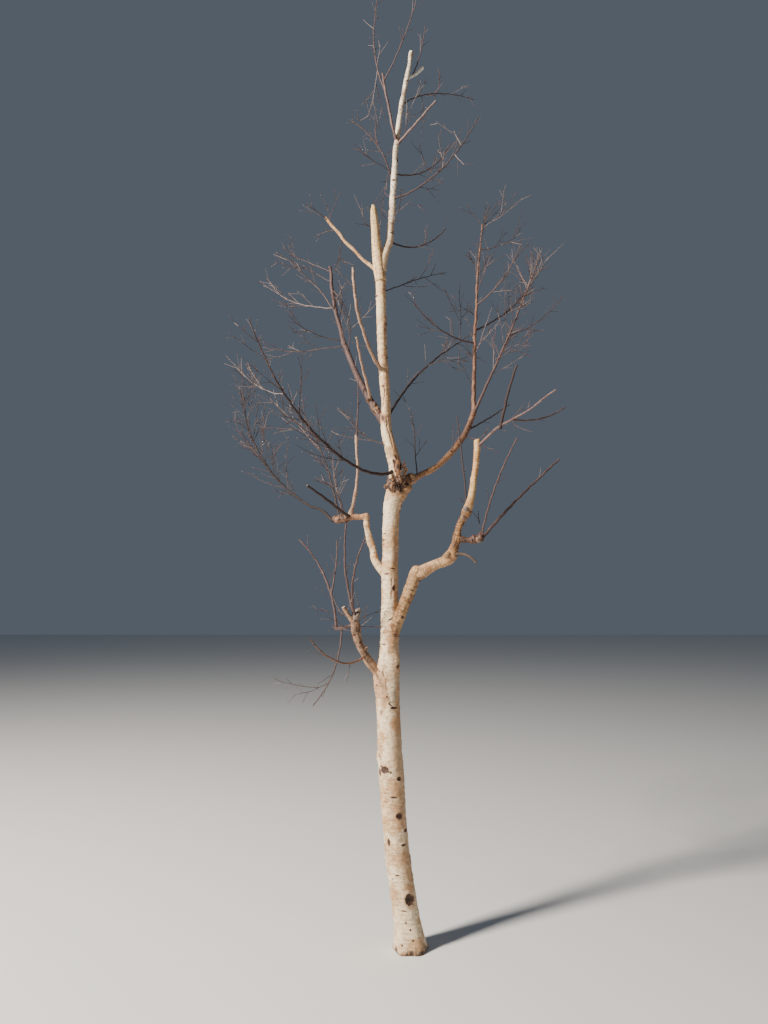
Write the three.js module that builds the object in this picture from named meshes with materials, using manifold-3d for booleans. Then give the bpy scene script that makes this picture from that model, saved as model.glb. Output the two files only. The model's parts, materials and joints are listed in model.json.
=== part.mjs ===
// A young silver birch in winter: a pale trunk that has been cut back hard, short thick boughs with
// pruning cuts, and the shoots that grew again from them. It is bare, so the limbs alone make the
// crown. Lengths are millimetres and angles are degrees. The origin is the centre of the flat cut at
// ground level, X points right in the front view, Y points away from the viewer and Z points up.
import * as THREE from "three";
import Module from "manifold-3d";

const wasm = await Module();
wasm.setup();

// Stations of the upright stems, from the foot up: height, place of the centre and diameter.
const TRUNK = [
  { z: 0, x: 0, y: 0, wide: 126 },
  { z: 80, x: -12, y: 0, wide: 116 },
  { z: 200, x: -30, y: 0, wide: 112 },
  { z: 430, x: -62, y: 5, wide: 108 },
  { z: 730, x: -83, y: 12, wide: 112 },
  { z: 1020, x: -97, y: 18, wide: 104 },
  { z: 1160, x: -95, y: 18, wide: 102 },
  { z: 1330, x: -91, y: 18, wide: 84 },
  { z: 1470, x: -90, y: 18, wide: 75 },
  { z: 1860, x: -84, y: 10, wide: 74 },
  { z: 1955, x: -78, y: 5, wide: 78 },
  { z: 2030, x: -58, y: 0, wide: 86 },
  { z: 2110, x: -62, y: -5, wide: 66 },
  { z: 2280, x: -106, y: -10, wide: 54 },
  { z: 2430, x: -110, y: -12, wide: 46 },
  { z: 2680, x: -124, y: -12, wide: 44 },
  { z: 3070, x: -133, y: -12, wide: 46 },
];
const LEADER = [
  { z: 3040, x: -131, y: -12, wide: 34 },
  { z: 3155, x: -106, y: -8, wide: 34 },
  { z: 3220, x: -88, y: -5, wide: 34 },
  { z: 3420, x: -74, y: 0, wide: 32 },
  { z: 3670, x: -58, y: 15, wide: 27 },
  { z: 3920, x: -31, y: 32, wide: 24 },
  { z: 4230, x: 22, y: 55, wide: 20 },
];
const CUT_LEADER = [
  { z: 3040, x: -136, y: -12, wide: 38 },
  { z: 3150, x: -147, y: -22, wide: 36 },
  { z: 3270, x: -159, y: -35, wide: 32 },
  { z: 3365, x: -167, y: -45, wide: 26 },
];

// The root flare: how many toes it has, how far they stand out and how soon they fade upwards.
const TOES = 5;
const TOE_REACH = 6;
const TOE_HEIGHT = 70;

const TRUNK_SIDES = 16;
const LEADER_SIDES = 12;
const RINGS_PER_STATION = 2;
const RING_STEP = 66; // the length of limb between two rings
const FEWEST_RINGS = 4;
const SEAT_GAP = 0.4; // each foot is cut this far off what it grows on
const THICK = 20; // a limb with a foot over this has old bark
const THICK_SIDES = 10;
const MIDDLE = 10; // a limb with a foot over this is between a twig and a bough
const MIDDLE_SIDES = 7;
const THIN_SIDES = 6;

// The colour of each kind of bark, and how rough it is.
const WHITE_BARK = { color: 0xd8ccba, roughness: 0.85 };
const TAN_BARK = { color: 0xa58868, roughness: 0.9 };
const YOUNG_BARK = { color: 0x7a5340, roughness: 0.75 };

// Each limb is one tapering arc. on and at say what it grows on and how far along that the foot is.
// foot and tip are its diameters. heading is its first compass angle, 0 along X and 90 along Y,
// and climb is its first angle above level. turn and veer are added to them by the tip. early is
// the power that brings the turn forward, where a limb bends up soon after its foot.
const LOW_LEFT = [
  { name: "low_left_bough", on: "trunk", at: 1130, length: 342, foot: 46, tip: 38,
    heading: 186, climb: 39, turn: 44, veer: 40 },
  { name: "low_left_peg", on: "low_left_bough", at: 322, length: 95, foot: 22, tip: 17,
    heading: 188, climb: 31, turn: 36, veer: 30 },
  { name: "low_left_arm", on: "low_left_bough", at: 316, length: 128, foot: 14, tip: 12,
    heading: 163, climb: -18, turn: 14, veer: -40 },
  { name: "low_left_rod", on: "low_left_bough", at: 332, length: 445, foot: 12, tip: 7,
    heading: 150, climb: 68, turn: 30 },
  { name: "low_left_rear_rod", on: "low_left_bough", at: 338, length: 400, foot: 11, tip: 6,
    heading: 240, climb: 62, turn: 2, veer: 95 },
  { name: "low_left_arm_rod", on: "low_left_arm", at: 120, length: 492, foot: 12, tip: 6,
    heading: 113, climb: 77, turn: -35, veer: 50 },
  { name: "low_left_arm_shoot", on: "low_left_arm_rod", at: 164, length: 270, foot: 8, tip: 5,
    heading: 45, climb: 74, turn: -5, veer: 60 },
  { name: "low_left_drop", on: "low_left_arm", at: 80, length: 380, foot: 8, tip: 4,
    heading: 265, climb: -75, turn: 30, veer: -60 },
  { name: "low_left_side", on: "low_left_bough", at: 166, length: 425, foot: 10, tip: 5,
    heading: 242, climb: -22, turn: 69, veer: -13 },
];
const ELBOW = [
  { name: "elbow_bough", on: "trunk", at: 1597, length: 350, foot: 36, tip: 26,
    heading: 161, climb: 43, turn: 46, veer: -44 },
  { name: "elbow_arm", on: "elbow_bough", at: 336, length: 147, foot: 25, tip: 24,
    heading: 178, climb: -2, turn: -8, veer: -8 },
  { name: "elbow_upright", on: "elbow_arm", at: 76, length: 404, foot: 23, tip: 18,
    heading: 0, climb: 68, turn: 27, early: 0.5 },
  { name: "elbow_upright_tip", on: "elbow_upright", at: 385, length: 275, foot: 9, tip: 4,
    heading: 285, climb: 76, turn: 5, veer: -10 },
  { name: "elbow_sweep", on: "elbow_arm", at: 122, length: 1015, foot: 14, tip: 4,
    heading: 147, climb: 15, turn: 67, veer: 8 },
  { name: "elbow_spar", on: "elbow_arm", at: 73, length: 315, foot: 14, tip: 10,
    heading: 232, climb: 23, turn: 0, veer: -4 },
  { name: "elbow_fork", on: "elbow_arm", at: 127, length: 665, foot: 9, tip: 4,
    heading: 121, climb: 70, turn: -12, veer: 36 },
];
const UPPER_LEFT = [
  { name: "swan_branch", on: "trunk", at: 2108, length: 1079, foot: 16, tip: 4,
    heading: 234, climb: -45, turn: 114, veer: -24, early: 0.5 },
  { name: "upper_left_bough", on: "trunk", at: 2325, length: 1000, foot: 36, tip: 14,
    heading: 139, climb: 49, turn: 33, veer: -11 },
  { name: "upper_left_whip", on: "upper_left_bough", at: 150, length: 325, foot: 14, tip: 9,
    heading: 248, climb: 54, turn: -2, veer: 5 },
  { name: "inner_left_branch", on: "trunk", at: 2573, length: 520, foot: 18, tip: 11,
    heading: 238, climb: 22, turn: 62, veer: 13 },
  { name: "top_left_bough", on: "trunk", at: 3052, length: 545, foot: 24, tip: 15,
    heading: 141, climb: 42, turn: 12 },
];
const RIGHT_HIGH = [
  { name: "right_high_bough", on: "trunk", at: 2046, length: 628, foot: 42, tip: 24,
    heading: 35, climb: 11, turn: 62, veer: -17 },
  { name: "right_high_stem", on: "right_high_bough", at: 615, length: 985, foot: 23, tip: 6,
    heading: 20, climb: 90, turn: -7 },
  { name: "right_high_outer", on: "right_high_bough", at: 600, length: 815, foot: 15, tip: 4,
    heading: 319, climb: 57, turn: 9, veer: 3 },
  { name: "right_high_mid", on: "right_high_stem", at: 415, length: 645, foot: 9, tip: 4,
    heading: 33, climb: 27, turn: 32, veer: 2 },
  { name: "right_high_upper", on: "right_high_stem", at: 545, length: 360, foot: 8, tip: 4,
    heading: 328, climb: 25, turn: 36, veer: -15 },
  { name: "right_high_inner", on: "right_high_stem", at: 350, length: 405, foot: 8, tip: 4,
    heading: 214, climb: -6, turn: 45, veer: 3 },
  { name: "right_high_side", on: "right_high_bough", at: 503, length: 405, foot: 9, tip: 5,
    heading: 44, climb: 26, turn: 6 },
  { name: "dark_right_branch", on: "trunk", at: 2341, length: 870, foot: 14, tip: 5,
    heading: 61, climb: 49, turn: -17, veer: -21 },
];
const RIGHT_LOW = [
  { name: "right_low_bough", on: "trunk", at: 1318, length: 365, foot: 66, tip: 50,
    heading: 327, climb: 62, turn: 7, veer: -3 },
  { name: "right_low_arm", on: "right_low_bough", at: 350, length: 190, foot: 48, tip: 42,
    heading: 342, climb: 4, turn: 38 },
  { name: "right_low_riser", on: "right_low_arm", at: 175, length: 214, foot: 42, tip: 34,
    heading: 348, climb: 69, turn: 1, veer: 1 },
  { name: "right_low_post", on: "right_low_riser", at: 200, length: 335, foot: 29, tip: 27,
    heading: 345, climb: 71, turn: 20 },
  { name: "right_post_branch", on: "right_low_post", at: 300, length: 485, foot: 16, tip: 7,
    heading: 307, climb: 24, turn: -9 },
  { name: "right_post_side", on: "right_post_branch", at: 230, length: 290, foot: 9, tip: 5,
    heading: 23, climb: -3, turn: 38, veer: -2 },
  { name: "right_post_spur", on: "right_post_branch", at: 156, length: 280, foot: 13, tip: 9,
    heading: 283, climb: 61, turn: -2, veer: 20 },
  { name: "right_knuckle_arm", on: "right_low_riser", at: 91, length: 117, foot: 26, tip: 28,
    heading: 338, climb: -52, turn: 90, veer: 21 },
  { name: "right_knuckle_shoot", on: "right_knuckle_arm", at: 108, length: 650, foot: 14, tip: 8,
    heading: 34, climb: 42, turn: -6, veer: -1 },
  { name: "right_knuckle_rod", on: "right_knuckle_arm", at: 112, length: 480, foot: 9, tip: 6,
    heading: 289, climb: 64, turn: -11, veer: 24 },
  { name: "right_dead_arm", on: "right_low_arm", at: 168, length: 151, foot: 18, tip: 14,
    heading: 334, climb: 26, turn: -80, veer: -23 },
  { name: "right_rod", on: "right_low_riser", at: 202, length: 505, foot: 8, tip: 5,
    heading: 84, climb: 61, turn: 20, veer: 33 },
];
const TOP = [
  { name: "leader_left_spar", on: "leader", at: 690, length: 310, foot: 14, tip: 10,
    heading: 234, climb: 59, turn: 8, veer: 14 },
  { name: "leader_left_whip", on: "leader_left_spar", at: 227, length: 700, foot: 8, tip: 3,
    heading: 141, climb: 66, turn: 15, veer: -90 },
  { name: "leader_top_whip", on: "leader_left_spar", at: 278, length: 432, foot: 6, tip: 3,
    heading: 322, climb: 47, turn: 23, veer: -8 },
  { name: "leader_right_spar", on: "leader", at: 672, length: 273, foot: 13, tip: 9,
    heading: 322, climb: 32, turn: -6, veer: -3 },
  { name: "leader_right_whip", on: "leader", at: 897, length: 574, foot: 7, tip: 3,
    heading: 45, climb: 47, turn: -42, veer: -13 },
  { name: "leader_top_peg", on: "leader", at: 1045, length: 142, foot: 13, tip: 12,
    heading: 24, climb: 36, turn: 19, veer: 17 },
  { name: "leader_tip_whip", on: "leader_top_peg", at: 43, length: 371, foot: 6, tip: 3,
    heading: 39, climb: 65, turn: 12, veer: 30 },
  { name: "leader_low_left", on: "leader", at: 454, length: 614, foot: 9, tip: 4,
    heading: 113, climb: 70, turn: -27, veer: 34 },
  { name: "leader_low_right", on: "leader", at: 389, length: 571, foot: 9, tip: 4,
    heading: 316, climb: -12, turn: 65, veer: 3 },
  { name: "leader_mid_right", on: "leader", at: 519, length: 546, foot: 8, tip: 4,
    heading: 46, climb: 14, turn: 51, veer: -7 },
  { name: "leader_foot_right", on: "leader", at: 170, length: 527, foot: 9, tip: 4,
    heading: 55, climb: 3, turn: 49, veer: -15 },
];
const LIMBS = [...LOW_LEFT, ...ELBOW, ...UPPER_LEFT, ...RIGHT_HIGH, ...RIGHT_LOW, ...TOP];

const radians = THREE.MathUtils.degToRad;
const lerp = THREE.MathUtils.lerp;

// A stem's rings: a smooth line through the stations, with level rings so that its foot is flat.
function stemRings(stations) {
  const curve = new THREE.CatmullRomCurve3(stations.map((s) => new THREE.Vector3(s.x, s.y, s.z)));
  const spans = (stations.length - 1) * RINGS_PER_STATION;
  return Array.from({ length: spans + 1 }, (_, ring) => {
    const place = ring / RINGS_PER_STATION;
    const below = Math.min(Math.floor(place), stations.length - 2);
    const wide = lerp(stations[below].wide, stations[below + 1].wide, place - below);
    return { centre: curve.getPoint(ring / spans), radius: wide / 2, level: true };
  });
}

// The point that is a given distance along a line of rings.
function pointAlong(rings, distance) {
  let left = distance;
  for (let i = 1; i < rings.length; i++) {
    const step = rings[i].centre.distanceTo(rings[i - 1].centre);
    if (left <= step) return rings[i - 1].centre.clone().lerp(rings[i].centre, left / step);
    left -= step;
  }
  return rings.at(-1).centre.clone();
}

// A limb's rings: an arc that starts inside what it grows on and bends all the way to its tip.
function limbRings(limb, parentRings) {
  const steps = Math.max(FEWEST_RINGS, Math.round(limb.length / RING_STEP));
  const centre = pointAlong(parentRings, limb.at);
  const rings = [];
  for (let i = 0; i <= steps; i++) {
    const share = i / steps;
    rings.push({ centre: centre.clone(), radius: lerp(limb.foot, limb.tip, share) / 2 });
    const middle = share + 0.5 / steps;
    const heading = radians(limb.heading + (limb.veer ?? 0) * middle);
    const climb = radians(limb.climb + limb.turn * middle ** (limb.early ?? 1));
    const flat = Math.cos(climb);
    const way = new THREE.Vector3(flat * Math.cos(heading), flat * Math.sin(heading), Math.sin(climb));
    centre.addScaledVector(way, limb.length / steps);
  }
  return rings;
}

// How far the root flare's toes stand out on one side of the trunk.
function toeAt(angle, height) {
  return TOE_REACH * Math.exp(-height / TOE_HEIGHT) * (1 + Math.cos(TOES * angle));
}

// One closed skin round a line of rings. Each ring's frame is turned from the last one's, so that
// the skin doesn't twist, and grow moves the skin and the tip outwards.
function skin(rings, sides, grow = 0, bulge = () => 0) {
  const points = [];
  const faces = [];
  const last = rings.length - 1;
  const first = rings[1].centre.clone().sub(rings[0].centre);
  const sideways = Math.abs(first.x) < Math.abs(first.y);
  const across = sideways ? new THREE.Vector3(1, 0, 0) : new THREE.Vector3(0, 1, 0);
  const wider = grow / Math.cos(Math.PI / sides);
  rings.forEach(({ centre, radius, level }, i) => {
    const along = rings[Math.min(i + 1, last)].centre.clone().sub(rings[Math.max(i - 1, 0)].centre);
    along.normalize();
    if (level) along.set(0, 0, 1);
    across.addScaledVector(along, -along.dot(across)).normalize();
    const up = along.clone().cross(across);
    const middle = centre.clone();
    if (i === last) middle.addScaledVector(along, grow);
    for (let side = 0; side < sides; side++) {
      const angle = (side * 2 * Math.PI) / sides;
      const reach = radius + wider + bulge(angle, centre.z);
      const point = middle.clone().addScaledVector(across, reach * Math.cos(angle));
      points.push(point.addScaledVector(up, reach * Math.sin(angle)));
    }
  });
  for (let i = 0; i < last; i++) {
    for (let side = 0; side < sides; side++) {
      const a = i * sides + side;
      const b = i * sides + ((side + 1) % sides);
      faces.push(a, b, b + sides, a, b + sides, a + sides);
    }
  }
  const tip = last * sides;
  for (let side = 1; side < sides - 1; side++) {
    faces.push(0, side + 1, side, tip, tip + side, tip + side + 1);
  }
  const geometry = new THREE.BufferGeometry().setFromPoints(points);
  geometry.setIndex(faces);
  return geometry;
}

function solidOf(geometry) {
  const mesh = new wasm.Mesh({
    numProp: 3,
    vertProperties: geometry.attributes.position.array,
    triVerts: new Uint32Array(geometry.index.array),
  });
  return new wasm.Manifold(mesh);
}

function geometryOf(solid) {
  const { vertProperties, triVerts } = solid.getMesh();
  const geometry = new THREE.BufferGeometry();
  geometry.setAttribute("position", new THREE.BufferAttribute(vertProperties, 3));
  geometry.setIndex(new THREE.BufferAttribute(triVerts, 1));
  const faceted = geometry.toNonIndexed();
  faceted.computeVertexNormals();
  return faceted;
}

function boxesMeet(a, b) {
  return [0, 1, 2].every((k) => a.min[k] < b.max[k] && b.min[k] < a.max[k]);
}

const tree = new THREE.Group();
tree.name = "silver_birch";
const grownSolids = [];
const ringsOf = {};

// Adds one limb to the tree, with its foot cut to sit on everything that stands there already.
function addLimb(name, rings, sides, bark, bulge) {
  let solid = solidOf(skin(rings, sides, 0, bulge));
  const box = solid.boundingBox();
  for (const grown of grownSolids) {
    if (boxesMeet(box, grown.boundingBox())) solid = solid.subtract(grown);
  }
  const pieces = solid.decompose().sort((a, b) => b.volume() - a.volume());
  const material = new THREE.MeshStandardMaterial({ ...bark, metalness: 0, flatShading: true });
  const mesh = new THREE.Mesh(geometryOf(pieces[0]), material);
  mesh.name = name;
  tree.add(mesh);
  grownSolids.push(solidOf(skin(rings, sides, SEAT_GAP, bulge)));
  ringsOf[name] = rings;
}

function sidesFor(foot) {
  if (foot > THICK) return THICK_SIDES;
  return foot > MIDDLE ? MIDDLE_SIDES : THIN_SIDES;
}

addLimb("trunk", stemRings(TRUNK), TRUNK_SIDES, WHITE_BARK, toeAt);
addLimb("leader", stemRings(LEADER), LEADER_SIDES, WHITE_BARK);
addLimb("cut_leader", stemRings(CUT_LEADER), LEADER_SIDES, TAN_BARK);
for (const limb of LIMBS) {
  const bark = limb.foot > THICK ? TAN_BARK : YOUNG_BARK;
  addLimb(limb.name, limbRings(limb, ringsOf[limb.on]), sidesFor(limb.foot), bark);
}

export default tree;
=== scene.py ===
"""A young silver birch in winter, cut back hard: its bark, knots, pruning cuts, buds and fine twigs.

The middle line of every limb is read from its CAD solid, and what is added grows on those lines.
Lengths are metres and angles are degrees, unless a name says otherwise. The viewer looks along +Y.
"""

import json
import math
from collections import namedtuple

import bpy
import numpy as np
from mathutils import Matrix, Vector


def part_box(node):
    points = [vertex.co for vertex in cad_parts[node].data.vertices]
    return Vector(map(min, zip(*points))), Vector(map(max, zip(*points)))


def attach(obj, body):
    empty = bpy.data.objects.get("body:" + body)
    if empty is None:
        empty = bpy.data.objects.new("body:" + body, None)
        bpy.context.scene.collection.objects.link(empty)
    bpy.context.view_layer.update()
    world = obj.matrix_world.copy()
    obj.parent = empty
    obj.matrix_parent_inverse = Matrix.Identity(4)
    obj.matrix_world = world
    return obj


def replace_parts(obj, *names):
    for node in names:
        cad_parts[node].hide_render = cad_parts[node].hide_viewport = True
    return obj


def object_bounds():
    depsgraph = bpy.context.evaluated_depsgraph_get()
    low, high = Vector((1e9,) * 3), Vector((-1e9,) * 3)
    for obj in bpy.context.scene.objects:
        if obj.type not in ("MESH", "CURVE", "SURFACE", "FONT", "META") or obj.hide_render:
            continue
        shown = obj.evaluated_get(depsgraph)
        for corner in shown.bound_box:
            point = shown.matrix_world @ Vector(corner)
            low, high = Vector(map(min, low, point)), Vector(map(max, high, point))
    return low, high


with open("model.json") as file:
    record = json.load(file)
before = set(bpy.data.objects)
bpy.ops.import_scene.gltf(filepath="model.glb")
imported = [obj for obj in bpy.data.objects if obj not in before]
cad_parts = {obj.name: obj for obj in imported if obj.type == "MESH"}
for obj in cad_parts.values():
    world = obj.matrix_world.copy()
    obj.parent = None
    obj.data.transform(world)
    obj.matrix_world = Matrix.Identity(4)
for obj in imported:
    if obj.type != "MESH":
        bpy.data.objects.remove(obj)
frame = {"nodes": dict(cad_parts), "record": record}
cad_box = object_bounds()

MM = 0.001
FULL_TURN = 2 * math.pi
GOLDEN_TURN = math.radians(137.5)  # from one bud or twig on a shoot to the next

# Where the seeds of each kind of thing start.
MARK_SEED, DOT_SEED, SEAM_SEED, LEADER_SEED, SPOT_SEED, LUMP_SEED = 100, 150, 170, 200, 300, 500
TWIG_SEED, SIDE_TWIG_SEED, FINE_TWIG_SEED = 900, 4000, 7000
BUD_SEED, STRIP_SEED = 77, 31

SLOT_OF = {part["node"]: part["material_slot"] for part in frame["record"]["subparts"]}

# What grows on each limb.
LIMBS_ON = {
    "trunk": "leader cut_leader low_left_bough elbow_bough swan_branch upper_left_bough"
    " inner_left_branch top_left_bough right_high_bough dark_right_branch right_low_bough",
    "low_left_bough": "low_left_peg low_left_arm low_left_rod low_left_rear_rod low_left_side",
    "low_left_arm": "low_left_arm_rod low_left_drop",
    "low_left_arm_rod": "low_left_arm_shoot",
    "elbow_bough": "elbow_arm",
    "elbow_arm": "elbow_upright elbow_sweep elbow_spar elbow_fork",
    "elbow_upright": "elbow_upright_tip",
    "upper_left_bough": "upper_left_whip",
    "right_high_bough": "right_high_stem right_high_outer right_high_side",
    "right_high_stem": "right_high_mid right_high_upper right_high_inner",
    "right_low_bough": "right_low_arm",
    "right_low_arm": "right_low_riser right_dead_arm",
    "right_low_riser": "right_low_post right_knuckle_arm right_rod",
    "right_low_post": "right_post_branch",
    "right_post_branch": "right_post_side right_post_spur",
    "right_knuckle_arm": "right_knuckle_shoot right_knuckle_rod",
    "leader": "leader_left_spar leader_right_spar leader_right_whip leader_top_peg"
    " leader_low_left leader_low_right leader_mid_right leader_foot_right",
    "leader_left_spar": "leader_left_whip leader_top_whip",
    "leader_top_peg": "leader_tip_whip",
}
LIMBS_ON = {limb: names.split() for limb, names in LIMBS_ON.items()}
PARENT = {name: limb for limb, names in LIMBS_ON.items() for name in names}

LEADERS = ("leader", "cut_leader")  # what the trunk forks into
# The limbs that end in a pruning cut, and those that end inside the next limb. The others end in
# a bud.
CUT = set(
    "leader cut_leader low_left_bough low_left_peg elbow_upright elbow_spar upper_left_bough"
    " upper_left_whip inner_left_branch top_left_bough right_low_post right_post_spur right_rod"
    " right_dead_arm leader_left_spar leader_right_spar leader_top_peg".split()
)
CONTINUED = set(
    "right_low_riser right_high_bough right_low_bough right_low_arm elbow_bough elbow_arm"
    " right_knuckle_arm low_left_arm".split()
)

# Bark kinds that differ from their slot's usual one.
BARK_KINDS = {
    "cream": "leader",
    # The peg's own pale bark, painted paler still as painted light, as the leader shades it.
    "lit_chalk": "leader_top_peg",
    "straw": "cut_leader",
    "honey": "right_low_post",
    "wheat": "elbow_bough",
    "ochre": "right_low_bough",
    "bronze": "right_low_riser",
    "umber": "low_left_bough low_left_peg",
    "ruddy": "right_knuckle_arm",
    "pink": "right_high_bough right_high_stem low_left_side elbow_arm",
    "plum": "leader_left_spar leader_right_spar right_post_branch",
    "red": "upper_left_bough",
    "rosy": "inner_left_branch upper_left_whip elbow_upright",
    "grey": "right_dead_arm",
    # Very dark: these shoots' own dark bark, made darker still as painted shade.
    "shaded_dark": "elbow_sweep dark_right_branch",
    "dark": "swan_branch elbow_fork elbow_spar right_post_spur"
    " right_rod leader_foot_right leader_low_left leader_low_right right_high_side",
}
BARK = {name: kind for kind, names in BARK_KINDS.items() for name in names.split()}
USUAL_BARK = {"white_bark": "white", "tan_bark": "tan", "young_bark": "red"}


def bark_of(name):
    return BARK.get(name, USUAL_BARK[SLOT_OF[name]])


# Vectors

def unit(vectors):
    vectors = np.asarray(vectors, float)
    return vectors / np.maximum(np.linalg.norm(vectors, axis=-1, keepdims=True), 1e-12)


def heading_way(heading, climb):
    """The direction with that compass angle and that angle above level."""
    flat = math.cos(math.radians(climb))
    return np.array([
        flat * math.cos(math.radians(heading)),
        flat * math.sin(math.radians(heading)),
        math.sin(math.radians(climb)),
    ])


def sideways(way):
    """A level direction across a way, or X where the way is upright."""
    across = np.cross(way, (0, 0, 1))
    if np.linalg.norm(across) < 0.05:
        across = np.array([1.0, 0, 0])
    return unit(across)


def turned(vector, axis, angle):
    """The vector turned about a unit axis by an angle in radians."""
    return (
        vector * math.cos(angle)
        + np.cross(axis, vector) * math.sin(angle)
        + axis * np.dot(axis, vector) * (1 - math.cos(angle))
    )


# Noise that repeats, and other curves

def cell_value(cell, seed):
    """A fixed number from -1 to 1 for each whole-numbered cell."""
    mixed = cell[..., 0] * 73856093 ^ cell[..., 1] * 19349663 ^ cell[..., 2] * 83492791
    mixed = (mixed ^ seed * 2654435761) & 0xFFFFFFFF
    mixed = ((mixed ^ mixed >> 13) * 1274126177) & 0xFFFFFFFF
    mixed = mixed ^ mixed >> 16
    return (mixed & 0xFFFF) / 32767.5 - 1


def noise(points, size, seed):
    """Smooth noise from -1 to 1. size is how big its lumps are, along each axis or along all."""
    scaled = np.asarray(points, float) / size
    base = np.floor(scaled).astype(np.int64)
    part = scaled - base
    part = part * part * (3 - 2 * part)
    total = np.zeros(scaled.shape[:-1])
    for corner in range(8):
        step = np.array([corner & 1, corner >> 1 & 1, corner >> 2 & 1])
        weight = np.prod(np.where(step, part, 1 - part), axis=-1)
        total += weight * cell_value(base + step, seed)
    return total


def rough_noise(points, size, seed, layers=3):
    """Noise with finer and weaker layers of itself on top."""
    size = np.asarray(size, float)
    return sum(
        noise(points, size / 2 ** layer, seed + layer) / 2 ** layer for layer in range(layers)
    )


def ease(value, low, high):
    """0 below low, 1 above high and smooth between them."""
    share = np.clip((value - low) / (high - low), 0, 1)
    return share * share * (3 - 2 * share)


def bell(distance, width):
    """1 at no distance, falling smoothly to almost nothing two widths away."""
    return np.exp(-((distance / width) ** 2))


def turn_between(angles, angle):
    """How far each angle is from one angle, the shorter way round."""
    return (angles - angle + math.pi) % FULL_TURN - math.pi


# Middle lines

WAY_REACH = 0.006  # how far to both sides of a place the way of a line is measured


class Line:
    """The middle line of a stem or twig, from its foot to its tip, with its radius all along."""

    def __init__(self, points, radii):
        self.points = np.array(points, float)
        self.radii = np.array(radii, float)
        steps = np.linalg.norm(np.diff(self.points, axis=0), axis=1)
        self.along = np.concatenate([[0.0], np.cumsum(steps)])
        self.length = float(self.along[-1])

    def point(self, distance):
        return np.stack(
            [np.interp(distance, self.along, self.points[:, axis]) for axis in range(3)], -1
        )

    def radius(self, distance):
        return np.interp(distance, self.along, self.radii)

    def way(self, distance):
        ahead = self.point(min(distance + WAY_REACH, self.length))
        behind = self.point(max(distance - WAY_REACH, 0))
        return unit(ahead - behind)

    def gap(self, place):
        """How far a place is from the line, and how far along the line that is."""
        start, step = self.points[:-1], np.diff(self.points, axis=0)
        share = np.einsum("ij,ij->i", place - start, step)
        share = np.clip(share / np.einsum("ij,ij->i", step, step), 0, 1)
        away = np.linalg.norm(start + share[:, None] * step - place, axis=1)
        nearest = int(away.argmin())
        return away[nearest], self.along[nearest] + share[nearest] * np.linalg.norm(step[nearest])

    def spaced(self, step):
        """The same line with points about a step apart."""
        count = max(3, round(self.length / step))
        at = np.linspace(0, self.length, count + 1)
        return Line(self.point(at), self.radius(at))


SLICE_STEP = 0.010  # how far apart a solid is cut to find its middle line
LONGEST_STRIDE = 5  # that many steps are tried to get past slices that aren't whole
WHOLE_SLICE = 0.74  # in a whole slice the nearest side is no nearer than this share of the furthest
FLAT_WITHIN = 3e-5  # corners that near to a plane lie in it
ROUND_WITHIN = 0.06  # how much the spokes of a round end differ, as a share
FOOT_REACH = 0.12  # how far inside what it grows on a limb's foot is looked for
SMOOTHING = (1, 4, 6, 4, 1)


def solid_corners(node):
    """The three corners of each triangle of a CAD solid."""
    mesh = frame["nodes"][node].data
    mesh.calc_loop_triangles()
    places = np.zeros(len(mesh.vertices) * 3)
    mesh.vertices.foreach_get("co", places)
    corners = np.zeros(len(mesh.loop_triangles) * 3, np.int32)
    mesh.loop_triangles.foreach_get("vertices", corners)
    return places.reshape(-1, 3)[corners].reshape(-1, 3, 3)


def tip_of(corners, parent):
    """The flat round end that is furthest from the parent: its middle, radius and way out."""
    best, best_gap = None, 0.0
    for triangle in corners:
        normal = unit(np.cross(triangle[1] - triangle[0], triangle[2] - triangle[0]))
        flat = np.abs((corners - triangle[0]) @ normal).max(axis=1) < FLAT_WITHIN
        if flat.sum() < 4:
            continue
        ring = np.unique(corners[flat].reshape(-1, 3).round(6), axis=0)
        middle = ring.mean(axis=0)
        spokes = np.linalg.norm(ring - middle, axis=1)
        if len(ring) < 6 or np.ptp(spokes) > ROUND_WITHIN * spokes.mean():
            continue
        gap = parent.gap(middle)[0]
        if gap > best_gap:
            best, best_gap = (middle, spokes.mean(), normal), gap
    return best


def slice_at(corners, place, way, reach):
    """The middle and radius of what a plane cuts from a solid near a place, or None."""
    height = (corners - place) @ way
    crossed = (height.min(axis=1) < 0) & (height.max(axis=1) > 0)
    corners, height = corners[crossed], height[crossed]
    ends = []
    for a, b in ((0, 1), (1, 2), (2, 0)):
        cut = (height[:, a] < 0) != (height[:, b] < 0)
        share = height[:, a] / np.where(cut, height[:, a] - height[:, b], 1)
        end = corners[:, a] + share[:, None] * (corners[:, b] - corners[:, a])
        ends.append(np.where(cut[:, None], end, np.nan))
    ends = np.stack(ends, 1)
    ends = ends[~np.isnan(ends[:, :, 0])].reshape(-1, 2, 3)
    middles = ends.mean(axis=1)
    ends = ends[np.linalg.norm(middles - place, axis=1) < reach]
    if len(ends) < 3:
        return None
    lengths = np.linalg.norm(ends[:, 1] - ends[:, 0], axis=1)
    middle = (ends.mean(axis=1) * lengths[:, None]).sum(axis=0) / lengths.sum()
    spokes = np.linalg.norm(ends.reshape(-1, 3) - middle, axis=1)
    return middle, spokes


def smoothed(values):
    """The values with their corners rounded off and both ends kept."""
    kernel = np.array(SMOOTHING) / sum(SMOOTHING)
    pad = len(kernel) // 2
    values = np.asarray(values, float)
    before = 2 * values[0] - values[pad:0:-1]
    after = 2 * values[-1] - values[-2:-2 - pad:-1]
    padded = np.concatenate([before, values, after])
    return np.apply_along_axis(lambda column: np.convolve(column, kernel, "valid"), 0, padded)


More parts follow.
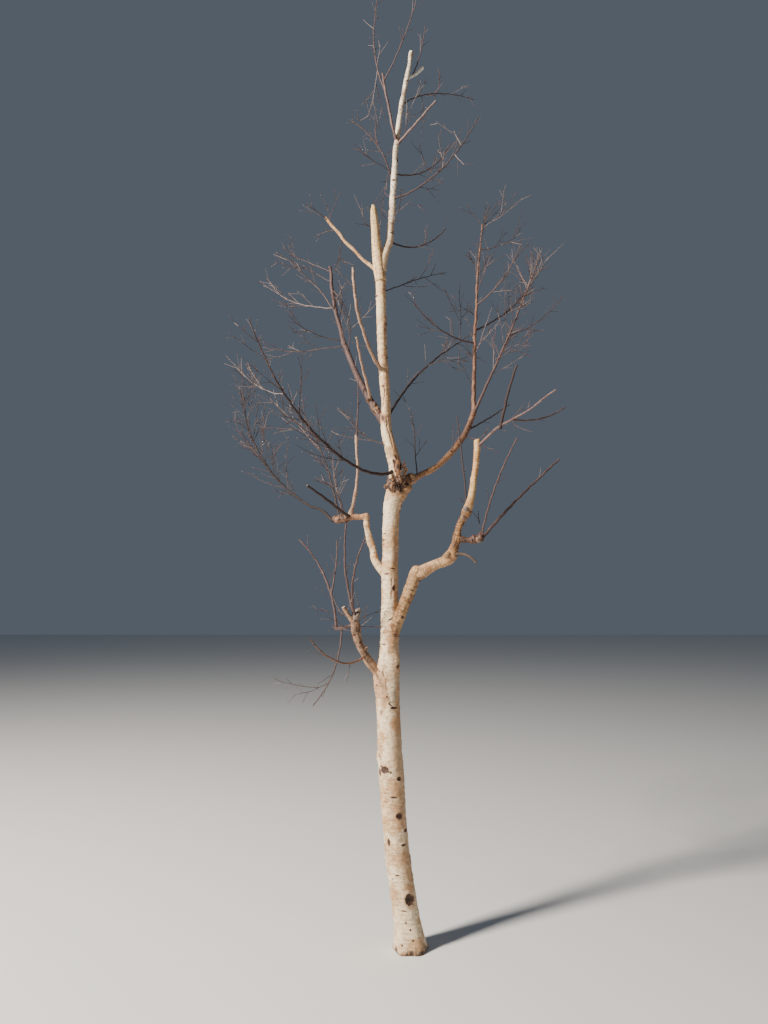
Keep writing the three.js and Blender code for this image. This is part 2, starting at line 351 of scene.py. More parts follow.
def trunk_line():
    """The trunk's middle at even heights, from the level cut at the ground up to its top."""
    corners = solid_corners("trunk")
    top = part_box("trunk")[1].z
    heights = np.arange(SLICE_STEP / 2, top, SLICE_STEP)
    points, radii = [], []
    for height in heights:
        middle, spokes = slice_at(corners, np.array([0, 0, height]), np.array([0, 0, 1.0]), 1.0)
        points.append(middle)
        radii.append(np.median(spokes))
    points.insert(0, points[0] * (1, 1, 0))
    points.append(points[-1] * (1, 1, 0) + (0, 0, top))
    return Line(smoothed(points), smoothed([radii[0]] + radii + [radii[-1]]))


def limb_line(node, parent):
    """A limb's middle line, from inside what it grows on out to its tip."""
    corners = solid_corners(node)
    middle, radius, out = tip_of(corners, parent)
    points, radii = [middle], [radius]
    way, ahead = -out, SLICE_STEP
    while ahead < LONGEST_STRIDE * SLICE_STEP:
        found = slice_at(corners, points[-1] + way * ahead, way, 4 * radii[-1])
        if found is None:
            break
        middle, spokes = found
        gap, along = parent.gap(middle)
        if gap < parent.radius(along) + 0.6 * spokes.max():
            break
        if spokes.min() < WHOLE_SLICE * spokes.max():
            ahead += SLICE_STEP
            continue
        way = unit(middle - points[-1])
        points.append(middle)
        radii.append(spokes.max())
        ahead = SLICE_STEP
    reach = np.linspace(0, FOOT_REACH, 61)
    gaps = [parent.gap(points[-1] + way * far)[0] for far in reach]
    inside = points[-1] + way * reach[int(np.argmin(gaps))]
    foot = parent.point(parent.gap(inside)[1])
    steps = max(2, round(np.linalg.norm(foot - points[-1]) / SLICE_STEP))
    for step in range(1, steps + 1):
        points.append(points[-1] + (foot - points[-1]) / (steps + 1 - step))
        radii.append(radii[-1])
    return Line(smoothed(points[::-1]), smoothed(radii[::-1]))


def all_lines():
    lines = {"trunk": trunk_line()}
    for limb, names in LIMBS_ON.items():
        for name in names:
            lines[name] = limb_line(name, lines[limb])
    return lines


LINES = all_lines()


def wandering(line, seed, amount, size):
    """The line with small natural bends, none at its two ends."""
    places = np.stack([line.along / size, np.zeros_like(line.along), np.zeros_like(line.along)], -1)
    drift = np.stack([noise(places, 1.0, seed + axis) for axis in range(3)], -1)
    hold = ease(line.along, 0.0, 0.05) * ease(line.length - line.along, 0.0, 0.03)
    return Line(line.points + amount * hold[:, None] * drift, line.radii)


KINK = 0.0012  # how far a young shoot bends to one side at each bud


def kinked(line, seed, step):
    """The line with a slight bend to and fro at each bud, as young shoots have."""
    swing = 2 * np.abs((line.along / step + 0.25) % 2 - 1) - 1
    side = sideways(line.way(line.length / 2))
    side = turned(side, line.way(line.length / 2), seed * 2.4)
    hold = ease(line.along, 0.0, 0.05) * ease(line.length - line.along, 0.0, 0.02)
    return Line(line.points + (KINK * hold * swing)[:, None] * side, line.radii)


# Skins

class Skin:
    """The points and faces of one piece, and the values painted on its points."""

    def __init__(self):
        self.points, self.faces, self.paint = [], [], {}
        self.count = 0

    def add(self, points, faces, **paint):
        self.faces += [tuple(int(corner) + self.count for corner in face) for face in faces]
        self.points.append(np.asarray(points, float))
        for key, values in paint.items():
            self.paint.setdefault(key, []).append(np.asarray(values, float))
        self.count += len(points)

    def piece(self, name, material, slot, smooth=True):
        """The finished piece, riding on the tree."""
        mesh = bpy.data.meshes.new(name)
        mesh.from_pydata(np.concatenate(self.points).tolist(), [], self.faces)
        for key, values in self.paint.items():
            values = np.concatenate(values)
            kind, field = ("FLOAT_VECTOR", "vector") if values.ndim == 2 else ("FLOAT", "value")
            layer = mesh.attributes.new(key, kind, "POINT")
            layer.data.foreach_set(field, values.astype(np.float32).ravel())
        mesh.polygons.foreach_set("use_smooth", [smooth] * len(mesh.polygons))
        mesh.materials.append(material)
        mesh.update()
        piece = bpy.data.objects.new(name, mesh)
        bpy.context.scene.collection.objects.link(piece)
        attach(piece, "root")
        return piece


def frames(points):
    """The way along a line at each point, and two directions across it that don't twist."""
    ways = unit(np.gradient(points, axis=0))
    across = np.empty_like(ways)
    side = sideways(ways[0])
    for i, way in enumerate(ways):
        side = unit(side - way * np.dot(side, way))
        across[i] = side
    return ways, across, np.cross(ways, across)


def ring_faces(rings, sides):
    """The four-cornered faces between each ring of points and the next."""
    ring, side = np.meshgrid(np.arange(rings - 1), np.arange(sides), indexing="ij")
    a = ring * sides + side
    b = ring * sides + (side + 1) % sides
    return np.stack([a, b, b + sides, a + sides], -1).reshape(-1, 4).tolist()


def fan(ring_start, sides, middle, flip=False):
    """Three-cornered faces from a ring to one point."""
    faces = []
    for side in range(sides):
        pair = ring_start + side, ring_start + (side + 1) % sides
        faces.append((pair[1], pair[0], middle) if flip else (pair[0], pair[1], middle))
    return faces


def add_tube(skin, rings, foot, tip, **paint):
    """A closed skin through rings of points, which ends in one point at each end."""
    count, sides = rings.shape[:2]
    faces = ring_faces(count, sides)
    faces += fan(0, sides, count * sides, flip=True)
    faces += fan((count - 1) * sides, sides, count * sides + 1)
    skin.add(np.concatenate([rings.reshape(-1, 3), [foot, tip]]), faces, **paint)


def angles_of(sides):
    return np.arange(sides) * 2 * math.pi / sides


def spokes_of(across, up, angles):
    """The ways out from each point of a line, one for each angle."""
    return across[:, None] * np.cos(angles)[None, :, None] + up[:, None] * np.sin(angles)[None, :, None]


def add_twig(skin, line, sides):
    """A thin twig: a tapering tube, closed at its foot and pointed at its tip."""
    ways, across, up = frames(line.points)
    spokes = spokes_of(across, up, angles_of(sides))
    rings = line.points[:, None] + spokes * line.radii[:, None, None]
    add_tube(skin, rings, line.points[0], line.points[-1] + ways[-1] * line.radii[-1] * 2)


# Marks on the bark: kind, height up the trunk, bearing, half width and half height in millimetres.
# A bearing of -90 faces the viewer, 0 is on the right and 180 on the left.
TRUNK_MARKS = [
    ("knot", 0.219, -62, 21, 25),
    ("knot", 0.375, -8, 13, 16),
    ("slit", 0.442, -53, 15, 5),
    ("knot", 0.453, -125, 8, 14),
    ("slit", 0.500, -32, 13, 8),
    ("knot", 0.562, -66, 16, 13),
    ("slit", 0.643, -85, 17, 4),
    ("knot", 0.720, -56, 10, 9),
    ("bump", 0.803, 178, 26, 24),
    ("bump", 1.135, -168, 40, 75),
    ("bump", 1.225, -40, 22, 40),
    ("knot", 0.757, -118, 19, 15),
    ("stain", 1.000, -128, 17, 20),
    ("bump", 1.950, -8, 26, 36),
    ("knot", 1.902, -12, 6, 7),
    ("slit", 1.022, -61, 17, 6),
    ("smudge", 1.200, -42, 15, 16),
    ("tan", 1.125, -122, 34, 62),
    ("tan", 1.960, -22, 34, 36),
    ("smudge", 1.928, -14, 8, 12),
    ("smudge", 1.385, -60, 14, 22),
    ("smudge", 0.745, -150, 16, 26),
    ("tan", 0.560, -40, 30, 40),
    ("tan", 1.480, -50, 20, 70),
    ("tan", 1.700, -45, 18, 90),
    ("tan", 0.950, -60, 26, 60),
    ("knot", 1.553, -62, 7, 13),
    ("slit", 1.752, -150, 10, 3),
    ("slit", 0.320, -100, 12, 3),
    ("slit", 0.176, -95, 15, 3),
    ("slit", 1.616, -118, 16, 4),
    ("slit", 1.640, -70, 14, 3),
    ("slit", 1.590, -140, 10, 3),
    ("slit", 1.772, -150, 12, 4),
    ("slit", 1.800, -135, 9, 3),
    ("slit", 1.300, -125, 12, 3),
    ("smudge", 2.335, -122, 17, 20),
    ("tan", 2.330, -115, 28, 30),
    ("smudge", 2.150, -70, 10, 26),
    ("knot", 2.486, -112, 7, 5),
    ("knot", 2.602, -158, 7, 6),
    ("knot", 2.626, -25, 7, 6),
    ("knot", 2.787, -22, 8, 6),
    ("knot", 2.925, -150, 7, 6),
    ("knot", 0.290, 75, 18, 20),
    ("knot", 0.640, 110, 14, 12),
    ("slit", 0.930, 95, 20, 5),
    ("knot", 1.240, 60, 12, 11),
    ("knot", 1.690, 100, 10, 9),
    ("slit", 2.200, 80, 14, 4),
    ("tan", 1.120, -158, 40, 85),
    ("tan", 1.060, -112, 26, 40),
    ("tan", 1.290, -70, 22, 55),
]
TRUNK_DOTS = [(0.129, -93), (0.100, -79), (0.058, -75), (0.039, -118), (1.071, -97), (1.120, -147)]
DOT_SIZE = 4.5
# Creases and seams on the trunk, each from one height and bearing to another, with its half width
# in millimetres and how dark it is.
TRUNK_SEAMS = [
    # The first row is a crease, and its dark is painted shade in the crease.
    (1.185, -122, 1.050, -82, 4.5, 0.72),
    (1.040, -84, 1.020, -62, 3.0, 0.90),
    (1.590, -76, 1.500, -80, 5.0, 0.62),
    (2.128, -97, 2.045, -78, 6.0, 1.00),
    (2.480, -93, 2.360, -150, 4.5, 0.85),
    (2.330, -80, 2.200, -72, 4.0, 0.70),
    (2.372, -165, 2.312, -98, 4.5, 0.85),
    (2.036, -125, 2.020, -62, 9.0, 0.95),
    (2.022, -66, 2.012, -20, 9.0, 0.95),
    (0.772, -135, 0.745, -92, 5.0, 0.90),
    (0.748, -94, 0.722, -62, 3.5, 0.85),
    (0.815, -150, 0.770, -135, 6.0, 0.75),
]
LEADER_MARKS = [
    ("knot", 3.621, -35, 6, 8),
    ("knot", 3.513, -100, 8, 6),
    ("knot", 3.365, -150, 5, 8),
    ("smudge", 3.735, -90, 14, 10),
    ("slit", 3.290, -80, 12, 3),
    ("slit", 3.240, -60, 12, 3),
    ("smudge", 4.060, -60, 6, 8),
    ("slit", 3.900, -110, 9, 3),
]


# What is painted on the bark, from 0 to 1.
# tan holds the bark's own tan and also painted shade on the right and lower sides.
PAINTED = ("dark", "stain", "rough", "tan", "cream")
# What each kind of mark raises or sinks, as shares of its smaller half size: how much, how far out
# from its middle and how wide that is, where 1 is the mark's edge.
MARK_RELIEF = {
    "knot": ((0.16, 1.15, 0.35), (-0.22, 0, 0.75)),
    "slit": ((0.30, 1.2, 0.4), (-0.45, 0, 0.6)),
    "bump": ((0.36, 0, 1),),
    "smudge": ((0.10, 0, 1.2),),
    "tan": (),
    "stain": ((-0.05, 0, 1),),
}
KNOT_RINGS = 14  # the radians that the growth rings of a knot turn through out to its edge


class Surface:
    """The skin of a thick limb before it is raised: its points, and where each lies on the bark."""

    def __init__(self, line, sides, level=False):
        self.line, self.sides = line, sides
        if level:
            self.ways, self.across, self.up = (
                np.tile(axis, (len(line.points), 1)) for axis in ((0.0, 0, 1), (1.0, 0, 0), (0, 1.0, 0))
            )
        else:
            self.ways, self.across, self.up = frames(line.points)
        self.angles = angles_of(sides)
        self.spokes = spokes_of(self.across, self.up, self.angles)
        self.radius = np.repeat(line.radii[:, None], sides, axis=1)
        self.points = line.points[:, None] + self.spokes * self.radius[..., None]
        self.along = np.repeat(line.along[:, None], sides, axis=1)
        self.straight = np.stack([
            self.radius * np.cos(self.angles), self.radius * np.sin(self.angles), self.along
        ], -1)
        self.raised = np.zeros_like(self.radius)
        self.paint = {layer: np.zeros_like(self.radius) for layer in PAINTED}

    def put(self, layer, amount):
        """Paints an amount wherever it is more than what is there."""
        self.paint[layer] = np.maximum(self.paint[layer], np.clip(amount, 0, 1))

    def unrolled(self, along, angle):
        """How far each point is round the limb and along it from a place on the bark, in metres."""
        return turn_between(self.angles[None], angle) * self.radius, self.along - along

    def place_of(self, point):
        """How far along the limb a point in space is, and its angle round the limb."""
        along = self.line.gap(point)[1]
        ring = int(np.abs(self.line.along - along).argmin())
        out = point - self.line.points[ring]
        return along, math.atan2(np.dot(out, self.up[ring]), np.dot(out, self.across[ring]))

    def mark(self, kind, along, angle, wide, tall, seed):
        """One knot, slit, bump or stain. wide and tall are half sizes in metres."""
        round_by, up_by = self.unrolled(along, angle)
        ragged = 0.16 * noise(self.points, 0.012, seed) + 0.06 * noise(self.points, 0.005, seed + 1)
        far = np.hypot(round_by / wide, up_by / tall) + ragged
        size = min(wide, tall)
        for height, out, width in MARK_RELIEF[kind]:
            self.raised += height * size * bell(far - out, width)
        if kind == "knot":
            self.put("dark", 1 - 0.5 * far)
            self.raised += 0.05 * size * np.cos(far * KNOT_RINGS) * (far < 1)
        elif kind == "slit":
            self.put("dark", 0.95 - 0.5 * far)
        elif kind == "smudge":
            self.put("dark", 0.60 - 0.30 * far ** 2)
        elif kind == "tan":
            torn = far + 0.5 * noise(self.points, 0.024, seed + 2)
            self.put("tan", 0.9 * (1 - ease(torn, 0.6, 1.15)))
        elif kind == "stain":
            self.put("stain", 1 - ease(far + 1.5 * ragged, 0.4, 1.1))

    def seam(self, along_a, angle_a, along_b, angle_b, wide, strength, seed):
        """A ragged line from one place on the bark to another, which fades and thins on its way."""
        round_by, up_by = self.unrolled(along_a, angle_a)
        way_round = angle_b - angle_a
        way_round *= float(self.line.radius((along_a + along_b) / 2))
        span = np.array([way_round, along_b - along_a])
        share = np.clip((round_by * span[0] + up_by * span[1]) / (span @ span), 0, 1)
        drift = 1.6 * wide * noise(self.points, 0.030, seed + 9)
        drift = drift + 0.7 * wide * noise(self.points, 0.009, seed)
        across = (round_by * span[1] - up_by * span[0]) / np.linalg.norm(span) + drift
        past = np.hypot(round_by - share * span[0], up_by - share * span[1])
        away = np.maximum(np.abs(across), past - np.abs(drift) - 0.3 * wide)
        own_wide = wide * (1 - 0.5 * share + 0.4 * noise(self.points, 0.016, seed + 4))
        # Darkens along the line: dark bark in a seam, and painted shade where the line is a crease.
        self.put("dark", strength - 0.15 * share - 0.45 * away / own_wide)
        self.raised += 0.15 * wide * bell(away - 1.6 * wide, wide)
        self.raised -= 0.4 * wide * bell(away, wide)

    def collar(self, child, seed, tanned=0.0):
        """The swelling and the dark wrinkled ridge that the bark has where a limb leaves."""
        foot_radius = float(child.radii[len(child.radii) // 4])
        exit_at = 0.0
        for distance in np.arange(0, min(child.length, 0.2), 0.002):
            gap, along = self.line.gap(child.point(distance))
            exit_at = distance
            if gap > self.line.radius(along):
                break
        place = child.point(exit_at)
        way = child.way(exit_at)
        out = self.points - place
        distance = np.linalg.norm(out, axis=-1)
        away = np.linalg.norm(out - way * (out @ way)[..., None], axis=-1)
        near = bell(distance, 2.6 * foot_radius)
        self.raised += min(0.40 * foot_radius, 0.008) * (bell(away, 1.25 * foot_radius) * near)
        spread = distance * (1 + 0.3 * noise(self.points, 0.02, seed + 3))
        self.put("tan", tanned * (1 - ease(spread, 0.8 * foot_radius, 2.8 * foot_radius)))
        round_by, up_by = self.unrolled(*self.place_of(place))
        peak = 1.5 * foot_radius
        ridge = up_by - (peak - 0.95 * np.abs(round_by))
        ridge += noise(self.points, 0.012, seed) * 0.18 * foot_radius
        thick = max(0.16 * foot_radius, 0.0016)
        reach = 1 - ease(np.abs(round_by), 1.2 * foot_radius, 2.1 * foot_radius)
        self.put("dark", reach * np.clip(0.85 - 0.45 * np.abs(ridge) / thick, 0, 1))
        self.raised += 0.5 * thick * (bell(ridge, thick) * reach)
        self.raised += 0.035 * foot_radius * (np.cos(up_by / (0.2 * foot_radius)) * near)

    def rough_spot(self, centre, reach, height, seed):
        """Torn and lumpy bark round a place."""
        far = np.linalg.norm(self.points - centre, axis=-1)
        far = far * (1 + 0.25 * noise(self.points, 0.6 * reach, seed))
        weight = 1 - ease(far, 0.55 * reach, 1.15 * reach)
        lumps = rough_noise(self.points, 0.014, seed + 1)
        self.raised += height * weight * (0.6 + 0.9 * lumps)
        self.put("rough", weight)


CUT_RINGS = (0.965, 0.93, 0.90, 0.72, 0.5, 0.3, 0.12)  # rings across a cut, as shares of its radius
BARK_EDGE = 2  # that many of them are still bark
BARK_PROUD, WOOD_SUNK = 0.0002, 0.0006  # how far the bark stands out of a cut, and the wood lies in it


def add_surface(skin, surface, cut_tip=0.0, tilt=0.0, flat_foot=False):
    """A raised limb as one closed skin. cut_tip is how fresh its pruning cut is, 0 for a round end."""
    sides, line, way = surface.sides, surface.line, surface.ways[-1]
    radius = surface.radius + surface.raised
    shear = np.zeros_like(radius)
    if tilt:
        ramp = ease(line.along, line.length - 2.2 * line.radii[-1], line.length)
        shear = ramp[:, None] * tilt * radius * np.cos(surface.angles - 1.0)
        shear -= ramp[:, None] * tilt * radius
    rings = line.points[:, None] + surface.spokes * radius[..., None]
    rings = rings + surface.ways[:, None] * shear[..., None]
    tip_middle = rings[-1].mean(axis=0)
    tip_rings = []
    for i, share in enumerate(CUT_RINGS):
        ring = tip_middle + (rings[-1] - tip_middle) * share
        if cut_tip:
            tip_rings.append(ring - way * (WOOD_SUNK if i >= BARK_EDGE else -BARK_PROUD))
        else:
            tip_rings.append(ring + way * radius[-1].mean() * math.sqrt(1 - share * share) * 0.7)
    foot = rings[0].mean(axis=0)
    rings = np.concatenate([rings, tip_rings])
    if flat_foot:
        rings[0, :, 2] = foot[2] = 0
    values = {}
    for layer, grid in surface.paint.items():
        grid = np.concatenate([grid, np.repeat(grid[-1:], len(CUT_RINGS), axis=0)])
        values[layer] = np.append(grid, [grid[0, 0], grid[-1, -1]])
    wood = [cut_tip * (i >= BARK_EDGE) for i in range(len(CUT_RINGS))]
    values["cut"] = np.append(np.repeat([0] * len(line.points) + wood, sides), [0, wood[-1]])
    straight = surface.straight
    ends = [straight[0, 0] * (0, 0, 1), straight[-1, 0] * (0, 0, 1)]
    tip_straight = [straight[-1] * (share, share, 1) for share in CUT_RINGS]
    straight = np.concatenate([straight, tip_straight]).reshape(-1, 3)
    values["straight"] = np.concatenate([straight, ends])
    add_tube(skin, rings, foot, np.mean(tip_rings[-1], axis=0), **values)


# The trunk and the limbs

TAN_AND_SHADE_SIDE, TAN_AND_SHADE_SHARE = -15, 0.75  # the side on which the trunk's bark is more tan, partly its own tan and partly painted shade, and how much
# The heights between which the trunk's bark turns to cream, and how far up the leaders it stays so.
CREAM_FROM, CREAM_TO = 2.05, 2.75
CREAM_ENDS_FROM, CREAM_ENDS_TO = 0.04, 0.46
COLLAR_TAN = 0.35  # how tan the bark is round the foot of each limb on the trunk
FOOT_ROUGH_FROM, FOOT_ROUGH_TO = 0.004, 0.03  # the heights between which the rough foot ends
SHOULDER_TALL, SHOULDER_IN = 0.050, 0.60  # how the trunk's top closes inside the fork
# The trunk's relief: how deep each layer is, on what it lies, how big its lumps are, its seed and
# how many finer layers it has.
TRUNK_RELIEF = (
    (0.0022, "points", (0.09, 0.09, 0.12), 11, 3),
    (0.0010, "straight", (0.06, 0.06, 0.009), 21, 2),
    (0.0008, "points", 0.012, 31, 2),
)
FLARE_TOES, FLARE_REACH, FLARE_HEIGHT, FLARE_TURN = 5, 0.006, 0.07, 18
TRUNK_STEP, TRUNK_SIDES = 0.0037, 108
# The hollow on the trunk's left, above the upper left bough.
NARROW_HEIGHT, NARROW_TALL, NARROW_BY = 2.40, 0.07, 0.007

BURL_SIDE = LINES["right_high_bough"].point(0.055)
ROUGH_SPOTS = [
    (BURL_SIDE + (0.0, -0.012, 0.004), 0.030, 0.0055),
    (LINES["upper_left_bough"].point(0.100), 0.036, 0.0040),
    (LINES["elbow_arm"].point(0.110), 0.034, 0.0050),
    (LINES["right_low_arm"].point(0.020) + (0, 0, -0.03), 0.022, 0.0035),
    (LINES["right_knuckle_arm"].point(0.105), 0.022, 0.0040),
    (LINES["right_low_riser"].point(0.200), 0.024, 0.0035),
    (LINES["low_left_bough"].point(0.310), 0.030, 0.0030),
]

# Where limbs swell: how far along, how much wider, and over what length.
SWELLINGS = {
    "elbow_arm": [(0.105, 0.50, 0.030), (0.140, 0.25, 0.014), (0.050, 0.15, 0.012)],
    "elbow_sweep": [(0.060, 0.25, 0.060)],
    "elbow_bough": [(0.150, 0.10, 0.010), (0.230, 0.14, 0.030)],
    "right_low_arm": [(0.015, 0.10, 0.040), (0.090, -0.06, 0.020), (0.160, 0.30, 0.022)],
    "right_low_bough": [(0.345, 0.04, 0.030), (0.130, -0.06, 0.050)],
    "right_low_riser": [(0.010, 0.12, 0.030), (0.110, -0.20, 0.070), (0.085, 0.10, 0.014),
                        (0.205, 0.24, 0.014)],
    "right_knuckle_arm": [(0.045, -0.20, 0.012), (0.076, 0.45, 0.010), (0.112, 0.65, 0.012)],
    "elbow_upright": [(0.020, 0.30, 0.022), (0.230, -0.42, 0.200), (0.130, 0.12, 0.006),
                      (0.180, 0.12, 0.006)],
    "low_left_bough": [(0.200, -0.20, 0.080), (0.330, 0.12, 0.024)],
    "low_left_arm": [(0.100, 0.25, 0.015)],
    "right_low_post": [(0.020, 0.20, 0.030), (0.330, 0.06, 0.012)],
    "right_post_branch": [(0.250, -0.22, 0.300)],
    "right_dead_arm": [(0.100, -0.30, 0.100)],
    "right_high_bough": [(0.042, 0.60, 0.032), (0.098, 0.30, 0.013), (0.220, -0.28, 0.120),
                         (0.600, 0.12, 0.030)],
    "top_left_bough": [(0.150, -0.26, 0.250)],
    "leader_top_peg": [(LINES["leader_top_peg"].length, 0.60, 0.040)],
    "cut_leader": [(0.180, 0.26, 0.150), (LINES["cut_leader"].length, -0.50, 0.018)],
}
# How far the tan of the next limb reaches up a limb's foot and down its tip, in metres.
TAN_ENDS = {
    "right_low_riser": (0.035, 0.025), "right_low_post": (0.070, 0), "right_low_arm": (0, 0.060),
    "right_high_bough": (0.560, 0), "low_left_bough": (0.180, 0), "elbow_arm": (0.075, 0),
    "elbow_bough": (0, 0.040),
}
# Where a limb's look bends off its solid's middle line, in millimetres: place along it, over what
# length, and how far it moves along X, Y and Z.
BENDS = {
    "right_low_bough": [(0.400, 0.060, (10, 0, -6))],
    "right_low_arm": [(0.000, 0.050, (10, 0, -6)), (0.100, 0.030, (0, 0, 4))],
    "right_low_riser": [(0.130, 0.050, (-11, 0, 0))],
    "right_post_branch": [(0.130, 0.070, (-2, 0, 9)), (0.330, 0.080, (4, 0, -9))],
    "elbow_bough": [(0.120, 0.040, (-5, 0, 0)), (0.190, 0.040, (6, 0, 0))],
    "low_left_bough": [(0.200, 0.060, (-2, 0, 0)), (0.300, 0.060, (-7, 0, 0))],
    "right_knuckle_arm": [(0.090, 0.050, (0, 0, 9))],
    "elbow_sweep": [(0.045, 0.035, (0, -9, -15)), (0.130, 0.045, (0, 0, 13)),
                    (0.300, 0.040, (0, 0, 5))],
}


def shortened(line, by):
    """The line without its last bit, as a rounded end follows."""
    at = line.along * (line.length - by) / line.length
    return Line(line.point(at), line.radius(at))


def bent(name, line):
    points = line.points.copy()
    for at, reach, move in BENDS.get(name, ()):
        points += bell(line.along - at, reach)[:, None] * np.array(move) * MM
    return Line(points, line.radii)


def swollen(name, line):
    radii = line.radii.copy()
    for at, share, reach in SWELLINGS.get(name, ()):
        radii *= 1 + share * bell(line.along - at, reach)
    return Line(line.points, radii)


def seed_of(name):
    return sum(ord(letter) * (place + 3) for place, letter in enumerate(name)) % 9973


def flared(line, parent):
    """The limb's foot drawn out to meet the bark that it grows from."""
    gaps = np.array([parent.gap(point) for point in line.points])
    outside = gaps[:, 0] > np.array([parent.radius(along) for along in gaps[:, 1]])
    exit_at = line.along[int(outside.argmax())] if outside.any() else 0.0
    radius = float(line.radius(exit_at + 0.02))
    reach = max(1.5 * radius, 0.006)
    fade = np.exp(-((np.maximum(line.along - exit_at, 0) / reach) ** 1.5))
    share = DRAWN_LEAST + DRAWN_MOST * math.exp(-radius / DRAWN_RADIUS)
    return Line(line.points, line.radii * (1 + share * fade))


BURL_HEIGHT, BURL_TALL, BURL_OUT = 2.022, 0.022, 0.011
BURL_LOW, BURL_HIGH = 2.002, 2.034  # the edges of the torn bark on the trunk's left side
BURL_DROP, BURL_RISE = 0.020, 0.078  # how much further it reaches down and up on the torn side
BURL_LIP_HEIGHT, BURL_LIP_TURN, BURL_LIP_OUT = 2.020, -162, 0.015
HOLLOW_ABOVE, HOLLOW_DEEP = 0.022, 0.009  # the hollow over the lip
TORN_TURN = -25  # the side on which the bark above the burl is torn


def add_burl(surface):
    """The shaggy swelling where the trunk was once cut and grew on."""
    height = surface.points[..., 2]
    right = 0.5 + 0.5 * np.cos(surface.angles - math.radians(TORN_TURN))
    lumps = rough_noise(surface.points, (0.026, 0.026, 0.020), 61)
    shape = bell(height - BURL_HEIGHT, BURL_TALL * (0.7 + 0.9 * right))
    surface.raised += BURL_OUT * shape * (0.25 + 1.0 * right + 0.9 * lumps)
    away = turn_between(surface.angles, math.radians(BURL_LIP_TURN))
    surface.raised += BURL_LIP_OUT * (bell(away, 0.6) * bell(height - BURL_LIP_HEIGHT, 0.011))
    above = bell(away, 0.7) * bell(height - BURL_LIP_HEIGHT - HOLLOW_ABOVE, 0.010)
    surface.raised -= HOLLOW_DEEP * above
    edge = 0.015 * noise(surface.points, 0.024, 71) + 0.009 * noise(surface.points, 0.008, 72)
    low = BURL_LOW - BURL_DROP * right
    high = BURL_HIGH + BURL_RISE * right ** 3
    band = ease(height + edge, low, low + 0.006) * (1 - ease(height + 1.4 * edge, high, high + 0.012))
    surface.put("rough", band)
    surface.raised += 0.0050 * band * rough_noise(surface.straight, (0.013, 0.013, 0.030), 81)
    surface.put("dark", 0.42 * (bell(height - low + 0.004, 0.010) * (0.4 + 0.6 * right)))


def marked(surface, marks, place, seed):
    """Marks the bark from a table. place turns a height and a bearing into a place on the bark."""
    for number, (kind, height, bearing, wide, tall) in enumerate(marks):
        surface.mark(kind, *place(height, bearing), wide * MM, tall * MM, seed + number)


def build_trunk(material):
    line = LINES["trunk"]
    heights = np.arange(0, line.points[-1, 2] + 1e-6, TRUNK_STEP)
    line = Line(
        np.stack([np.interp(heights, line.points[:, 2], line.points[:, k]) for k in range(3)], -1),
        np.interp(heights, line.points[:, 2], line.radii),
    )
    surface = Surface(line, TRUNK_SIDES, level=True)
    height = surface.points[..., 2]
    surface.along = height
    surface.straight[..., 2] = height
    toes = 1 + np.cos(FLARE_TOES * (surface.angles - math.radians(FLARE_TURN)))
    surface.raised += FLARE_REACH * np.exp(-height / FLARE_HEIGHT) * toes
    for deep, layer, size, seed, layers in TRUNK_RELIEF:
        surface.raised += deep * rough_noise(getattr(surface, layer), size, seed, layers)
    ragged = height + 0.05 * noise(surface.points, 0.08, 51)
    surface.put("cream", ease(ragged, CREAM_FROM, CREAM_TO))
    # The right side, away from the key light, is painted tan: partly the bark's own tan, partly painted
    # shade.
    right = np.cos(surface.angles - math.radians(TAN_AND_SHADE_SIDE))
    right = right + 0.45 * rough_noise(surface.straight, (0.04, 0.04, 0.16), 45)
    surface.put("tan", TAN_AND_SHADE_SHARE * ease(right, 0.25, 0.80) * ease(height, 0.1, 0.4))
    narrow = np.clip(-np.cos(surface.angles), 0, 1) * bell(height - NARROW_HEIGHT, NARROW_TALL)
    surface.raised -= NARROW_BY * narrow
    add_burl(surface)
    dots = [("knot", at, bearing, DOT_SIZE, DOT_SIZE) for at, bearing in TRUNK_DOTS]
    for marks, seed in ((TRUNK_MARKS, MARK_SEED), (dots, DOT_SEED)):
        marked(surface, marks, lambda at, bearing: (at, math.radians(bearing)), seed)
    for number, (from_at, from_bearing, to_at, to_bearing, wide, strength) in enumerate(TRUNK_SEAMS):
        from_angle, to_angle = math.radians(from_bearing), math.radians(to_bearing)
        surface.seam(from_at, from_angle, to_at, to_angle, wide * MM, strength, SEAM_SEED + number)
    for name in LIMBS_ON["trunk"]:
        if name not in LEADERS:
            surface.collar(LINES[name], seed_of(name), tanned=COLLAR_TAN)
    add_rough_spots(surface, LINES["trunk"], math.inf)
    foot = height + 0.02 * rough_noise(surface.straight, (0.02, 0.02, 0.05), 41)
    surface.put("rough", 1 - ease(foot, FOOT_ROUGH_FROM, FOOT_ROUGH_TO))
    shoulder = ease(height, line.points[-1, 2] - SHOULDER_TALL, line.points[-1, 2])
    surface.raised -= SHOULDER_IN * surface.radius * shoulder ** 2
    finish_limb("trunk", surface, material, flat_foot=True)


def finish_limb(name, surface, material, **ends):
    """The bark of a limb, in place of its solid."""
    skin = Skin()
    add_surface(skin, surface, **ends)
    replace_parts(skin.piece(name + "_bark", material, SLOT_OF[name]), name)


def add_rough_spots(surface, line, near):
    """The torn spots whose edge is no further than near from a limb's middle line."""
    for number, (centre, reach, raise_by) in enumerate(ROUGH_SPOTS):
        if line.gap(centre)[0] < reach + near:
            surface.rough_spot(centre, reach, raise_by, SPOT_SEED + 7 * number)


THICK, MIDDLING = 0.010, 0.005  # the radii above which limbs have more detail
WHIPPY = 0.008  # the radius below which they bend at each bud
LEADER_DRAWN = 0.36  # how much wider the leaders are at their foot
DRAWN_LEAST, DRAWN_MOST, DRAWN_RADIUS = 0.05, 0.36, 0.007  # the same of the others, by radius


def limb_detail(radius):
    """The spacing of a limb's rings, and how many sides it has."""
    if radius > THICK:
        return 0.0035, 48
    if radius > MIDDLING:
        return 0.004, 24
    return 0.006, 12


